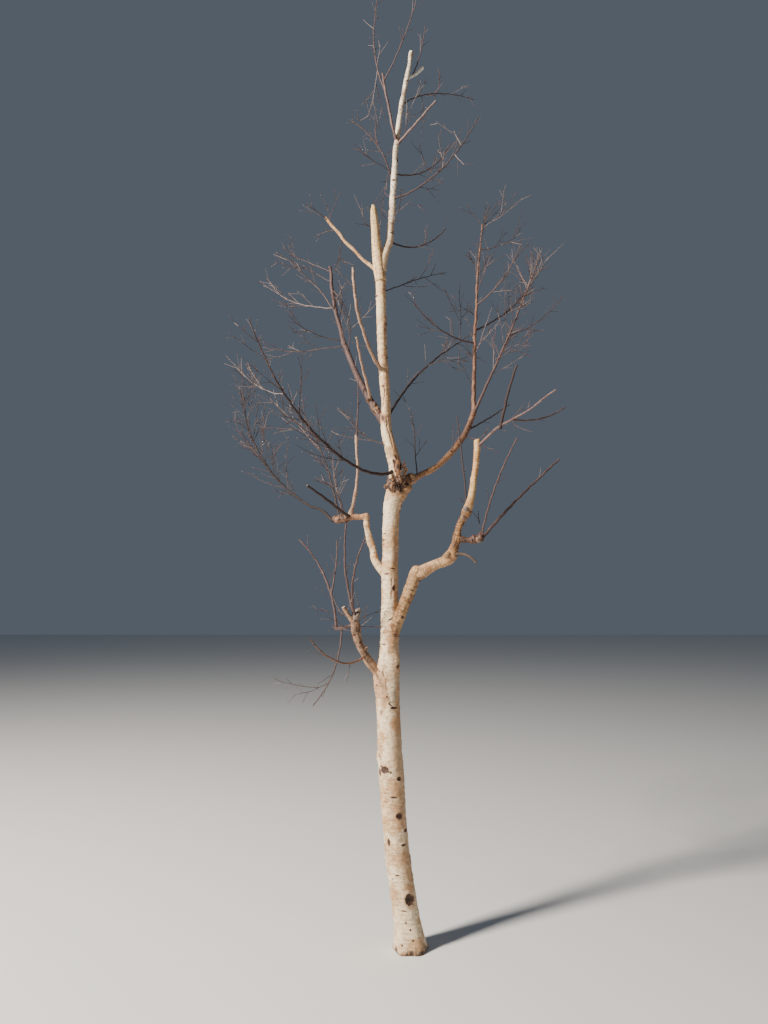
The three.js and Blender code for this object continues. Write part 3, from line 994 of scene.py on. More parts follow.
def shaped_line(name):
    """A limb's line with its natural bends, swellings and drawn-out foot."""
    line = LINES[name]
    radius = float(np.median(line.radii))
    step, _ = limb_detail(radius)
    line = line.spaced(step)
    line = wandering(line, seed_of(name), min(0.35 * radius, 0.0035), 0.08)
    if radius < WHIPPY and line.length > 0.15:
        line = kinked(line, seed_of(name), 0.032)
    if name in CONTINUED:
        line = shortened(line, 0.5 * line.radii[-1])
    line = swollen(name, bent(name, line))
    if name in LEADERS:
        return Line(line.points, line.radii * (1 + LEADER_DRAWN * bell(line.along, 0.10)))
    return flared(line, LINES[PARENT[name]])


KNOT_SPACING = 0.11  # one small knot to that much of a limb, on the average
ROUGH_NEAR = 0.03  # a torn spot whose edge is that near to a limb's middle line shows on it
DULL_CUT = 0.12  # how fresh the cuts on thin dark limbs look, where 1 is pale new wood


def build_limb(name, materials):
    line = shaped_line(name)
    radius = float(np.median(LINES[name].radii))
    _, sides = limb_detail(radius)
    seed = seed_of(name)
    bark = BARKS[bark_of(name)]
    surface = Surface(line, sides)
    lump = max(3.2 * radius, 0.016)
    surface.raised += 0.11 * radius * rough_noise(surface.points, lump, seed)
    surface.raised += 0.03 * radius * rough_noise(surface.straight, (0.03, 0.03, 0.008), seed + 5, 2)
    if name in LEADERS:
        along = surface.along + 0.04 * noise(surface.points, 0.05, 52)
        surface.put("cream", 1 - ease(along, CREAM_ENDS_FROM, CREAM_ENDS_TO))
    # Painted shade: the right and lower side, away from the key light, is painted tan.
    if bark.shade:
        under = 0.7 * surface.spokes[..., 0] - 0.7 * surface.spokes[..., 2]
        under = under + 0.45 * rough_noise(surface.straight, (0.03, 0.03, 0.10), seed + 7)
        surface.put("tan", bark.shade * ease(under, 0.20, 0.85))
    drift = 0.02 * noise(surface.points, 0.03, seed + 8)
    ends = surface.along + drift, line.length - surface.along + drift
    for from_end, reach in zip(ends, TAN_ENDS.get(name, ())):
        if reach:
            surface.put("tan", 0.9 * (1 - ease(from_end, 0.3 * reach, reach)))
    if radius > MIDDLING:
        for child in LIMBS_ON.get(name, ()):
            surface.collar(LINES[child], seed_of(child))
        add_rough_spots(surface, LINES[name], ROUGH_NEAR)
    if name == "leader":
        def place(height, bearing):
            at = float(np.interp(height, line.points[:, 2], line.along))
            return surface.place_of(line.point(at) + radius * heading_way(bearing, 0))
        marked(surface, LEADER_MARKS, place, LEADER_SEED)
    for number in range(int(line.length / KNOT_SPACING) if radius > MIDDLING else 0):
        along, angle, size = (
            cell_value(np.array([seed, number, place]), 4 + place) for place in (1, 2, 3)
        )
        size = radius * (0.16 + 0.10 * abs(size))
        at = (0.1 + 0.85 * ((along + 1) / 2)) * line.length
        surface.mark("knot", at, math.pi * angle, 1.3 * size, size, seed + number)
    tilt = 0.35 * cell_value(np.array([seed, 4, 4]), 8) if name in CUT else 0.0
    fresh = DULL_CUT if bark_of(name) in ("dark", "red", "grey") else 1.0
    material = materials[bark_of(name)]
    finish_limb(name, surface, material, cut_tip=fresh * (name in CUT), tilt=abs(tilt))


# Lumps of healed wood: the limb, how far along that as a share, heading, climb, length and widest
# radius in millimetres, and bark.
LUMPS = [
    ("low_left_bough", 1.00, 30, 66, 62, 17, "ash"),
    ("low_left_bough", 0.30, 200, 20, 34, 9, "umber"),
    ("low_left_bough", 0.45, 255, 15, 30, 9, "umber"),
    ("low_left_bough", 0.58, 330, 30, 36, 9, "umber"),
    ("low_left_bough", 0.70, 215, 35, 34, 8, "umber"),
    ("low_left_bough", 0.88, 300, 35, 26, 8, "ruddy"),
    ("low_left_bough", 0.99, 150, 15, 44, 6, "ruddy"),
    ("low_left_bough", 0.80, 275, 20, 22, 7, "ruddy"),
    ("low_left_bough", 0.93, 250, 40, 34, 9, "ruddy"),
    ("low_left_bough", 0.95, 190, 60, 40, 8, "ruddy"),
    ("upper_left_bough", 0.16, 240, 20, 34, 13, "ruddy"),
    ("upper_left_bough", 0.12, 285, 40, 38, 12, "ruddy"),
    ("elbow_arm", 0.98, 120, 55, 34, 13, "ruddy"),
    ("elbow_arm", 0.62, 275, 35, 24, 8, "rosy"),
    ("elbow_arm", 0.88, 240, -35, 26, 9, "ruddy"),
    ("elbow_arm", 0.78, 250, 50, 36, 12, "ruddy"),
    ("right_knuckle_arm", 0.92, 60, 72, 48, 12, "ruddy"),
    ("right_knuckle_arm", 0.60, 255, 40, 28, 10, "ruddy"),
    ("right_knuckle_arm", 0.85, 250, 20, 30, 11, "rosy"),
    ("right_knuckle_arm", 0.74, 90, 75, 34, 6, "ruddy"),
    ("right_low_arm", 0.86, 250, 25, 52, 16, "tan"),
    ("right_low_riser", 0.95, 255, 35, 46, 13, "ash"),
    ("right_low_riser", 0.80, 250, 20, 40, 12, "rosy"),
    ("trunk", 0.629, -12, 46, 168, 24, "amber"),
    ("trunk", 0.655, 215, 5, 72, 13, "grey"),
    ("right_high_bough", 0.145, 262, 20, 54, 16, "tan"),
    ("right_high_bough", 0.12, 275, 50, 46, 12, "rosy"),
    ("right_high_bough", 0.15, 270, -40, 34, 15, "rosy"),
    ("right_high_bough", 0.10, 250, 10, 40, 17, "ruddy"),
]
LUMP_SIDES, LUMP_RINGS, LUMP_ROUGH = 28, 24, 0.35


def build_lumps(materials):
    """Lumps that stand on the limbs, each closed, with its foot inside the limb."""
    skins = {}
    share = np.linspace(0, 1, LUMP_RINGS)
    for number, (name, place, heading, climb, length, widest, kind) in enumerate(LUMPS):
        way = heading_way(heading, climb)
        start = LINES[name].point(place * LINES[name].length) - 0.2 * length * MM * way
        radii = widest * MM * (0.72 + 0.36 * np.sin(math.pi * share ** 0.8)) * np.sqrt(1.02 - share ** 6)
        surface = Surface(Line(start + way * share[:, None] * length * MM, radii), LUMP_SIDES)
        lumps = rough_noise(surface.points, 1.1 * widest * MM, LUMP_SEED + number)
        surface.raised += 0.22 * widest * MM * lumps
        surface.put("rough", LUMP_ROUGH)
        add_surface(skins.setdefault(kind, Skin()), surface)
    for kind, skin in skins.items():
        skin.piece("lumps_" + kind, materials[kind], "tan_bark")


# Twigs

# The twigs that show best: what each grows on, how far along that as a share, its length in
# millimetres, heading, climb, how much it turns up and round by its tip, thickness in millimetres,
# and tint.
TWIGS = [
    ("upper_left_bough", 0.73, 410, 210, 50, -25, -5, 7, "pale"),
    ("upper_left_bough", 0.97, 280, 160, 28, 5, -5, 5, "red"),
    ("upper_left_bough", 0.91, 145, 195, 22, 0, 0, 4, "pale"),
    ("upper_left_bough", 0.76, 480, 165, 0, 55, -25, 5, "pale"),
    ("upper_left_bough", 0.56, 320, 190, 0, 25, 45, 5, "red"),
    ("upper_left_bough", 0.53, 430, 167, -10, 25, 0, 5, "red"),
    ("upper_left_bough", 0.48, 320, 300, 55, -15, -85, 5, "red"),
    ("upper_left_bough", 0.67, 255, 75, 60, 10, 20, 4, "dark"),
    ("top_left_bough", 0.94, 110, 200, 35, 0, 0, 5, "dark"),
    ("top_left_bough", 0.89, 125, 120, 70, 0, 0, 4, "dark"),
    ("top_left_bough", 0.80, 125, 205, -30, 0, 0, 4, "pale"),
    ("top_left_bough", 0.64, 210, 235, -72, 0, 0, 4, "dark"),
    ("elbow_sweep", 0.87, 225, 320, 63, 5, -45, 4, "dark"),
    ("elbow_sweep", 0.83, 275, 110, 77, -20, 50, 4, "dark"),
    ("elbow_sweep", 0.72, 310, 50, 70, -5, 90, 4, "dark"),
    ("elbow_sweep", 0.76, 160, 215, 45, -55, -25, 4, "dark"),
    ("elbow_arm", 0.73, 210, 260, 77, -50, -55, 6, "red"),
    ("elbow_arm", 0.76, 370, 120, 67, -5, -5, 5, "red"),
    ("trunk", 0.72, 315, 205, 0, 50, 30, 6, "pale"),
    ("trunk", 0.96, 405, 28, 33, -15, 0, 6, "dark"),
    ("leader_left_whip", 0.23, 165, 130, -65, -5, -25, 4, "pale"),
    ("leader_right_spar", 0.20, 200, 50, 73, 0, -10, 4, "red"),
    ("leader_right_whip", 0.33, 200, 285, -77, 0, -30, 4, "pale"),
    ("leader_right_whip", 0.54, 160, 35, 74, 0, 40, 4, "red"),
    ("leader_low_left", 0.54, 190, 95, 77, 0, 25, 4, "red"),
    ("leader_low_left", 0.19, 190, 205, 12, 10, 5, 4, "red"),
    ("leader_low_left", 0.20, 270, 235, -75, 0, 5, 4, "red"),
    ("leader_low_right", 0.55, 100, 75, 72, 0, 0, 4, "pale"),
    ("leader_low_right", 0.69, 80, 325, -55, 0, 0, 4, "pale"),
    ("leader_low_right", 0.77, 95, 140, 66, 0, 0, 4, "pale"),
    ("leader_mid_right", 0.49, 70, 230, 53, 0, 0, 4, "red"),
    ("leader", 0.24, 120, 325, 27, 0, 0, 4, "red"),
    ("cut_leader", 0.70, 120, 190, 0, 80, 65, 4, "red"),
    ("leader_foot_right", 0.58, 90, 290, 70, 0, 0, 4, "red"),
    ("right_high_stem", 0.61, 230, 300, 55, 15, 0, 5, "red"),
    ("right_high_stem", 0.76, 100, 145, 54, 0, 0, 4, "red"),
    ("right_high_stem", 0.86, 285, 10, 5, 55, 15, 4, "red"),
    ("right_high_mid", 0.53, 60, 335, 18, 0, 0, 4, "red"),
    ("right_high_outer", 0.50, 510, 13, 20, 45, 25, 6, "red"),
    ("right_high_outer", 0.41, 140, 340, -20, 55, -10, 4, "red"),
    ("right_high_stem", 0.31, 145, 325, 50, 0, 0, 4, "red"),
    ("right_high_inner", 0.23, 290, 73, 76, 0, 30, 4, "dark"),
    ("right_high_stem", 0.50, 90, 210, 17, 0, 0, 4, "dark"),
    ("dark_right_branch", 0.59, 225, 330, 27, -75, 0, 4, "dark"),
    ("right_high_bough", 0.77, 145, 350, -45, 105, -35, 5, "red"),
    ("right_high_bough", 0.54, 125, 320, 50, 0, 0, 5, "red"),
    ("right_high_bough", 0.20, 320, 265, 78, -5, -45, 6, "dark"),
    ("low_left_drop", 0.69, 145, 160, -27, 15, 0, 4, "dark"),
    ("right_post_branch", 0.48, 65, 280, -60, 0, 0, 4, "dark"),
    ("right_knuckle_arm", 0.98, 135, 97, 70, 0, 0, 4, "dark"),
    ("right_high_outer", 0.66, 260, 20, 62, 22, 0, 4, "pale"),
    ("right_high_outer", 0.84, 170, 25, 40, 25, 0, 4, "pale"),
    ("right_high_stem", 0.97, 225, 10, 42, 12, 0, 4, "pale"),
    ("right_high_stem", 0.93, 150, 50, 76, 0, 0, 5, "dark"),
    ("right_high_stem", 0.90, 200, 340, 72, 8, 0, 5, "dark"),
    ("right_high_mid", 0.80, 190, 15, 55, 20, 0, 4, "pale"),
    ("dark_right_branch", 0.93, 80, 170, 40, 0, 0, 4, "dark"),
    ("dark_right_branch", 0.95, 65, 20, 42, 0, 0, 4, "dark"),
    ("dark_right_branch", 0.93, 115, 330, -48, 0, 0, 4, "dark"),
    ("low_left_bough", 0.90, 110, 195, -15, 35, 0, 5, "red"),
    ("low_left_bough", 0.93, 60, 350, 40, 0, 0, 4, "red"),
    ("low_left_bough", 0.84, 45, 235, -20, -30, 0, 4, "dark"),
    ("elbow_sweep", 0.55, 330, 150, 40, 25, 20, 4, "red"),
    ("elbow_sweep", 0.42, 300, 250, 50, 20, -30, 4, "red"),
    ("elbow_fork", 0.60, 280, 170, 35, 40, 0, 4, "pale"),
    ("swan_branch", 0.45, 320, 200, 25, 30, -20, 4, "red"),
    ("swan_branch", 0.70, 260, 160, 10, 40, 0, 4, "pale"),
    ("low_left_bough", 0.95, 100, 190, 28, 10, 0, 3, "pale"),
    ("low_left_bough", 0.87, 85, 340, 28, 15, 0, 3, "pale"),
    ("low_left_bough", 0.85, 75, 205, -20, 60, 0, 3, "pale"),
    ("low_left_peg", 0.45, 70, 250, 60, 0, 0, 3, "red"),
    ("low_left_bough", 0.97, 90, 300, 70, 0, 0, 3, "red"),
]

TWIG_STEP = 0.009
TWIG_TIP = 0.75  # a fine twig's tip radius in millimetres
SPARE_SHARE, SPARE = 0.03, 0.010  # how far past the CAD box the twigs reach at most
STAY_IN = 0.85  # the share of that which is used
LOWEST_TWIG = 0.02
FEWEST_POINTS = 3  # a twig that is cut shorter than that is left out


def allowed_box():
    low, high = (np.array(corner) for corner in cad_box)
    spare = STAY_IN * (SPARE_SHARE * (high - low) + SPARE)
    low, high = low - spare, high + spare
    low[2] = LOWEST_TWIG
    return low, high


BOX_LOW, BOX_HIGH = allowed_box()


def kept_inside(line):
    """The line cut short where it would leave the room that the looks have."""
    inside = np.all((line.points > BOX_LOW) & (line.points < BOX_HIGH), axis=1)
    if inside.all():
        return line
    count = int(inside.argmin())
    if count < FEWEST_POINTS:
        return None
    return Line(line.points[:count], line.radii[:count] * (1 - 0.5 * np.linspace(0, 1, count)))


def arc_line(start, length, heading, climb, turn, veer, foot, tip):
    """A twig that bends evenly from its foot to its tip."""
    steps = max(4, round(length / TWIG_STEP))
    points = [np.array(start, float)]
    for step in range(steps):
        share = (step + 0.5) / steps
        way = heading_way(heading + veer * share, climb + turn * share)
        points.append(points[-1] + way * length / steps)
    return Line(points, np.linspace(foot, tip, steps + 1))


# Each tint of twig: its colour, and the tints that the finer twigs on it are dealt from.
TINTS = {
    "red": ((0.080, 0.045, 0.040), ("red", "red", "dark", "pale")),
    "dark": ((0.044, 0.026, 0.022), ("dark", "dark", "red")),
    # The pale tint is painted light: twig bark painted as pale as it looks where brightly lit.
    "pale": ((0.200, 0.145, 0.128), ("pale", "pale", "red")),
}


def placed_twigs():
    """The named twigs as lines with their tints."""
    twigs = []
    for number, (on, share, length, heading, climb, turn, veer, thick, tint) in enumerate(TWIGS):
        start = LINES[on].point(share * LINES[on].length)
        foot = thick * MM / 2
        tip = max(0.22 * thick, TWIG_TIP) * MM
        line = arc_line(start, length * MM, heading, climb, turn, veer, foot, tip)
        line = kinked(wandering(line, TWIG_SEED + number, 0.006, 0.12), number, 0.03)
        line = kept_inside(line)
        if line is not None:
            twigs.append((line, tint, 0))
    return twigs


FIRST_TWIG, LAST_TWIG = 0.25, 0.97  # where the side twigs start and end, as shares of their carrier
TWIG_LEAN = (26, 48)  # how far they lean away from it
SHORTEST_TWIG = 0.02
TURN_UP = 2.2  # how strongly they turn up towards the light


def side_twigs(carrier, tint, order, seed, spacing, longest):
    """Finer twigs that leave a shoot to one side and another, by a seeded rule."""
    random = np.random.default_rng(seed)
    twigs = []
    at = FIRST_TWIG * carrier.length + random.uniform(0, spacing)
    tints = TINTS[tint][1]
    turn_round = random.uniform(0, FULL_TURN)
    while at < LAST_TWIG * carrier.length:
        way = carrier.way(at)
        turn_round += GOLDEN_TURN + random.normal(0, 0.3)
        out = turned(sideways(way), way, turn_round)
        lean = math.radians(random.uniform(*TWIG_LEAN))
        start_way = unit(way * math.cos(lean) + out * math.sin(lean))
        room = 1 - 0.55 * (at / carrier.length)
        length = longest * room * (0.22 + 0.78 * random.uniform() ** 1.6)
        line = kept_inside(growing_twig(carrier.point(at), start_way, length, random))
        if line is not None and line.length > SHORTEST_TWIG:
            twigs.append((line, tints[random.integers(len(tints))], order))
        at += spacing * random.uniform(0.6, 1.5)
    return twigs


def growing_twig(start, way, length, random):
    """A fine twig that turns up towards the light and bends a little at each bud."""
    steps = max(4, round(length / TWIG_STEP))
    foot = (1.0 + 3.6 * length) * MM
    points = [np.array(start, float)]
    side = unit(np.cross(way, random.normal(size=3)))
    lift = random.uniform(0.2, 0.9)
    for step in range(steps):
        if step % 3 == 0:
            side = -side
            way = unit(way + 0.07 * side + 0.035 * random.normal(size=3))
        way = unit(way + np.array([0, 0, lift * length / steps * TURN_UP]))
        points.append(points[-1] + way * length / steps)
    return Line(points, np.linspace(foot, TWIG_TIP * MM, steps + 1))


# How close the side twigs are on each carrier, and how long the longest is.
SPRAYS = {
    "elbow_sweep": (0.026, 0.44), "elbow_fork": (0.032, 0.36), "swan_branch": (0.028, 0.40),
    "elbow_upright_tip": (0.045, 0.14), "right_high_outer": (0.018, 0.38),
    "right_high_mid": (0.019, 0.32), "right_high_upper": (0.021, 0.26),
    "right_high_inner": (0.036, 0.20), "right_high_side": (0.070, 0.12),
    "right_high_stem": (0.042, 0.26), "dark_right_branch": (0.042, 0.24),
    "right_post_branch": (0.085, 0.14), "right_post_side": (0.085, 0.10),
    "right_knuckle_shoot": (0.120, 0.12), "right_knuckle_rod": (0.100, 0.10),
    "right_rod": (0.120, 0.08), "low_left_side": (0.080, 0.14), "low_left_drop": (0.070, 0.14),
    "low_left_arm_rod": (0.080, 0.16), "low_left_arm_shoot": (0.080, 0.12),
    "low_left_rod": (0.110, 0.12), "low_left_rear_rod": (0.100, 0.14),
    "leader_left_whip": (0.040, 0.18), "leader_top_whip": (0.040, 0.16),
    "leader_right_whip": (0.036, 0.20), "leader_tip_whip": (0.045, 0.14),
    "leader_low_left": (0.036, 0.22), "leader_low_right": (0.034, 0.22),
    "leader_mid_right": (0.036, 0.20), "leader_foot_right": (0.040, 0.18),
    "upper_left_bough": (0.100, 0.22), "inner_left_branch": (0.150, 0.14),
}
TWIG_SPRAY = (0.032, 0.25)
FINE_SPRAY = (0.034, 0.12)
FINE_FROM = 0.090  # only twigs longer than this carry finer ones


def all_twigs():
    placed = placed_twigs()
    twigs = list(placed)
    for name, (spacing, longest) in SPRAYS.items():
        tint = BARKS[bark_of(name)].twigs
        twigs += side_twigs(LINES[name], tint, 1, seed_of(name), spacing, longest)
    for number, (line, tint, _) in enumerate(placed):
        twigs += side_twigs(line, tint, 1, SIDE_TWIG_SEED + number, *TWIG_SPRAY)
    fine = []
    for number, (line, tint, order) in enumerate(twigs):
        if order == 1 and line.length > FINE_FROM:
            fine += side_twigs(line, tint, 2, FINE_TWIG_SEED + number, *FINE_SPRAY)
    return twigs + fine


TWIG_SIDES = 5


def build_twigs(twigs, materials):
    for tint in TINTS:
        skin = Skin()
        for line, own_tint, order in twigs:
            if own_tint == tint:
                add_twig(skin, line, TWIG_SIDES + (order == 0))
        skin.piece("twigs_" + tint, materials["twig_" + tint], "young_bark")


# Buds

BUD_SPACING = 0.028
BUD_LENGTH, BUD_RADIUS = 0.0055, 0.0012
BUD_FREE_FOOT, BUD_FREE_TIP = 0.015, 0.008  # what is left without buds at the ends of a twig
BUD_PROFILE = ((0.0, 0.55), (0.35, 1.0), (0.7, 0.7))  # how far up a bud, and how wide it is there
BUD_SIDES = 5


def add_bud(skin, start, way, size):
    """A small pointed bud."""
    side = sideways(way)
    up = np.cross(way, side)
    spokes = spokes_of(side[None], up[None], angles_of(BUD_SIDES))[0]
    rings = np.stack([
        start + way * BUD_LENGTH * size * far + spokes * BUD_RADIUS * size * wide
        for far, wide in BUD_PROFILE
    ])
    add_tube(skin, rings, start, start + way * BUD_LENGTH * size)


def bud_shoot(skin, line, random, start_at):
    """Buds to one side and another along a shoot, and one at its tip."""
    at = start_at
    turn_round = random.uniform(0, FULL_TURN)
    while at < line.length - BUD_FREE_TIP:
        way = line.way(at)
        turn_round += GOLDEN_TURN
        out = turned(sideways(way), way, turn_round)
        lean = unit(way * 0.8 + out * 0.6)
        size = random.uniform(0.75, 1.15)
        start = line.point(at) + out * line.radius(at) * 0.8
        add_bud(skin, start, lean, size)
        at += BUD_SPACING * random.uniform(0.75, 1.3)
    add_bud(skin, line.points[-1], line.way(line.length), random.uniform(0.8, 1.1))


def build_buds(twigs, material):
    random = np.random.default_rng(BUD_SEED)
    skin = Skin()
    for line, _, _ in twigs:
        bud_shoot(skin, line, random, BUD_FREE_FOOT)
    for name in LINES:
        if name not in CUT | CONTINUED | {"trunk"}:
            bud_shoot(skin, LINES[name], random, 0.4 * LINES[name].length)
    skin.piece("buds", material, "young_bark", smooth=False)


# Peeling bark

# Where torn strips of bark stand off: limb, lowest and highest share along it, bearing range, how
# many, their length in millimetres and how far the most curled one turns, in radians.
TORN_STRIPS = [
    ("trunk", 0.664, 0.686, (-85, 0), 26, 46, 0.5),
    ("trunk", 0.656, 0.672, (-190, 40), 44, 20, 1.0),
    ("trunk", 0.118, 0.126, (-20, 20), 3, 14, 2.2),
    ("trunk", 0.02, 0.62, (-180, 180), 26, 8, 2.2),
    ("trunk", 0.70, 0.98, (-180, 180), 16, 8, 2.2),
    ("right_high_bough", 0.06, 0.17, (-180, 180), 30, 18, 1.0),
    ("right_low_arm", 0.02, 0.95, (-180, 180), 16, 10, 2.2),
    ("right_low_bough", 0.25, 0.98, (-180, 180), 14, 9, 2.2),
    ("right_low_riser", 0.10, 0.98, (-180, 180), 12, 9, 2.2),
    ("elbow_arm", 0.45, 0.95, (-180, 180), 14, 10, 2.2),
    ("elbow_bough", 0.2, 0.9, (-180, 180), 8, 8, 2.2),
]
STRIP_ROWS, STRIP_COLUMNS = 5, 3
STRIP_THICK = 0.0006


def add_strip(skin, start, out, way, long, wide, curl):
    """A strip of bark held at its foot, which bends off the limb and curls. It is a closed sheet."""
    across = unit(np.cross(out, way))
    points = []
    place = start - out * 0.0025 - way * 0.003
    direction = unit(way + 0.25 * out)
    for row in range(STRIP_ROWS + 1):
        share = row / STRIP_ROWS
        half = 0.5 * wide * (1 - 0.55 * share ** 2)
        normal = unit(np.cross(direction, across))
        for column in range(STRIP_COLUMNS + 1):
            side = 2 * column / STRIP_COLUMNS - 1
            cup = 0.25 * half * (1 - side * side)
            points.append(place + across * half * side + normal * cup)
        place = place + direction * long / STRIP_ROWS
        direction = unit(turned(direction, across, -curl / STRIP_ROWS))
    top = np.array(points)
    normal = unit(np.cross(way, across))
    bottom = top - normal * STRIP_THICK
    columns = STRIP_COLUMNS + 1
    count = len(top)
    faces = []
    for row in range(STRIP_ROWS):
        for column in range(STRIP_COLUMNS):
            a = row * columns + column
            b, c, d = a + 1, a + 1 + columns, a + columns
            faces += [(a, b, c, d), (count + a, count + d, count + c, count + b)]
    edge = list(range(columns))
    edge += [row * columns + columns - 1 for row in range(1, STRIP_ROWS + 1)]
    edge += [STRIP_ROWS * columns + column for column in range(columns - 2, -1, -1)]
    edge += [row * columns for row in range(STRIP_ROWS - 1, 0, -1)]
    for i, a in enumerate(edge):
        b = edge[(i + 1) % len(edge)]
        faces.append((b, a, count + a, count + b))
    skin.add(np.concatenate([top, bottom]), faces)


def build_strips(materials):
    random = np.random.default_rng(STRIP_SEED)
    skins = {"torn_bark": Skin(), "shed_bark": Skin()}
    for name, low, high, (bearing_low, bearing_high), count, long, most_curl in TORN_STRIPS:
        line = LINES[name]
        for _ in range(count):
            at = line.length * random.uniform(low, high)
            way = line.way(at)
            bearing = math.radians(random.uniform(bearing_low, bearing_high))
            out = np.array([math.cos(bearing), math.sin(bearing), 0.0])
            out = unit(out - way * np.dot(out, way) + 1e-6)
            start = line.point(at) + out * line.radius(at)
            upwards = 1 if random.random() < 0.85 else -1
            slant = turned(way * upwards, out, random.normal(0, 0.12 + 0.12 * most_curl))
            length = long * MM * random.uniform(0.5, 1.1)
            curl = most_curl * random.uniform(0.1, 1)
            skin = skins["torn_bark" if random.random() < 0.6 else "shed_bark"]
            add_strip(skin, start, out, slant, length, length * random.uniform(0.25, 0.55), curl)
    for kind, skin in skins.items():
        skin.piece(kind, materials[kind], "tan_bark", smooth=False)


# Materials

class Shades:
    """The nodes of one material."""

    def __init__(self, name):
        self.material = bpy.data.materials.new(name)
        self.material.use_nodes = True
        self.tree = self.material.node_tree
        self.shader = self.tree.nodes["Principled BSDF"]

    def feed(self, socket, value):
        if isinstance(value, bpy.types.NodeSocket):
            self.tree.links.new(value, socket)
        else:
            socket.default_value = value

    def node(self, kind, inputs=(), **settings):
        node = self.tree.nodes.new(kind)
        for key, value in settings.items():
            setattr(node, key, value)
        for key, value in dict(inputs).items():
            self.feed(node.inputs[key], value)
        return node

    def painted(self, name):
        """The value that is painted on the points under that name."""
        node = self.node("ShaderNodeAttribute", attribute_name=name)
        return node.outputs["Vector" if name == "straight" else "Fac"]

    def scaled(self, vector, scale):
        node = self.node("ShaderNodeMapping", {"Vector": vector, "Scale": scale})
        return node.outputs["Vector"]

    def noise(self, vector, scale, detail=2.0, rough=0.5):
        inputs = {"Vector": vector, "Scale": scale, "Detail": detail, "Roughness": rough}
        return self.node("ShaderNodeTexNoise", inputs).outputs["Fac"]

    def between(self, value, low, high, start=0.0, end=1.0):
        """start below low, end above high."""
        inputs = {"Value": value, "From Min": low, "From Max": high, "To Min": start, "To Max": end}
        node = self.node("ShaderNodeMapRange", inputs, interpolation_type="SMOOTHSTEP")
        return node.outputs["Result"]

    def times(self, a, b):
        return self.math("MULTIPLY", a, b)

    def math(self, operation, a, b=0.0):
        node = self.node("ShaderNodeMath", operation=operation)
        self.feed(node.inputs[0], a)
        self.feed(node.inputs[1], b)
        return node.outputs["Value"]

    def mix(self, amount, a, b):
        node = self.node("ShaderNodeMix", data_type="RGBA")
        self.feed(node.inputs["Factor"], amount)
        colours = [socket for socket in node.inputs if socket.type == "RGBA"]
        self.feed(colours[0], a)
        self.feed(colours[1], b)
        return next(socket for socket in node.outputs if socket.type == "RGBA")

    def finish(self, colour, roughness, specular):
        for key, value in (
            ("Base Color", colour), ("Roughness", roughness), ("Specular IOR Level", specular),
        ):
            self.feed(self.shader.inputs[key], value)

    def bump(self, height, strength, distance):
        inputs = {"Height": height, "Strength": strength, "Distance": distance}
        node = self.node("ShaderNodeBump", inputs)
        self.feed(self.shader.inputs["Normal"], node.outputs["Normal"])


def rgb(red, green, blue):
    return (red, green, blue, 1.0)


KNOT = rgb(0.028, 0.015, 0.010)
KNOT_LIGHT = rgb(0.130, 0.062, 0.038)
TORN = rgb(0.040, 0.023, 0.016)
TORN_LIGHT = rgb(0.290, 0.150, 0.080)
STAIN = rgb(0.270, 0.120, 0.065)
TAN = rgb(0.500, 0.270, 0.130)
TAN_DEEP = rgb(0.270, 0.125, 0.060)
CREAM = rgb(0.740, 0.550, 0.320)
WOOD = rgb(0.740, 0.580, 0.370)
WOOD_DARK = rgb(0.480, 0.330, 0.200)
BARK_SPECULAR = 0.35
RING_TURNS = 3400.0  # how close the yearly rings on a cut are, in radians to the metre
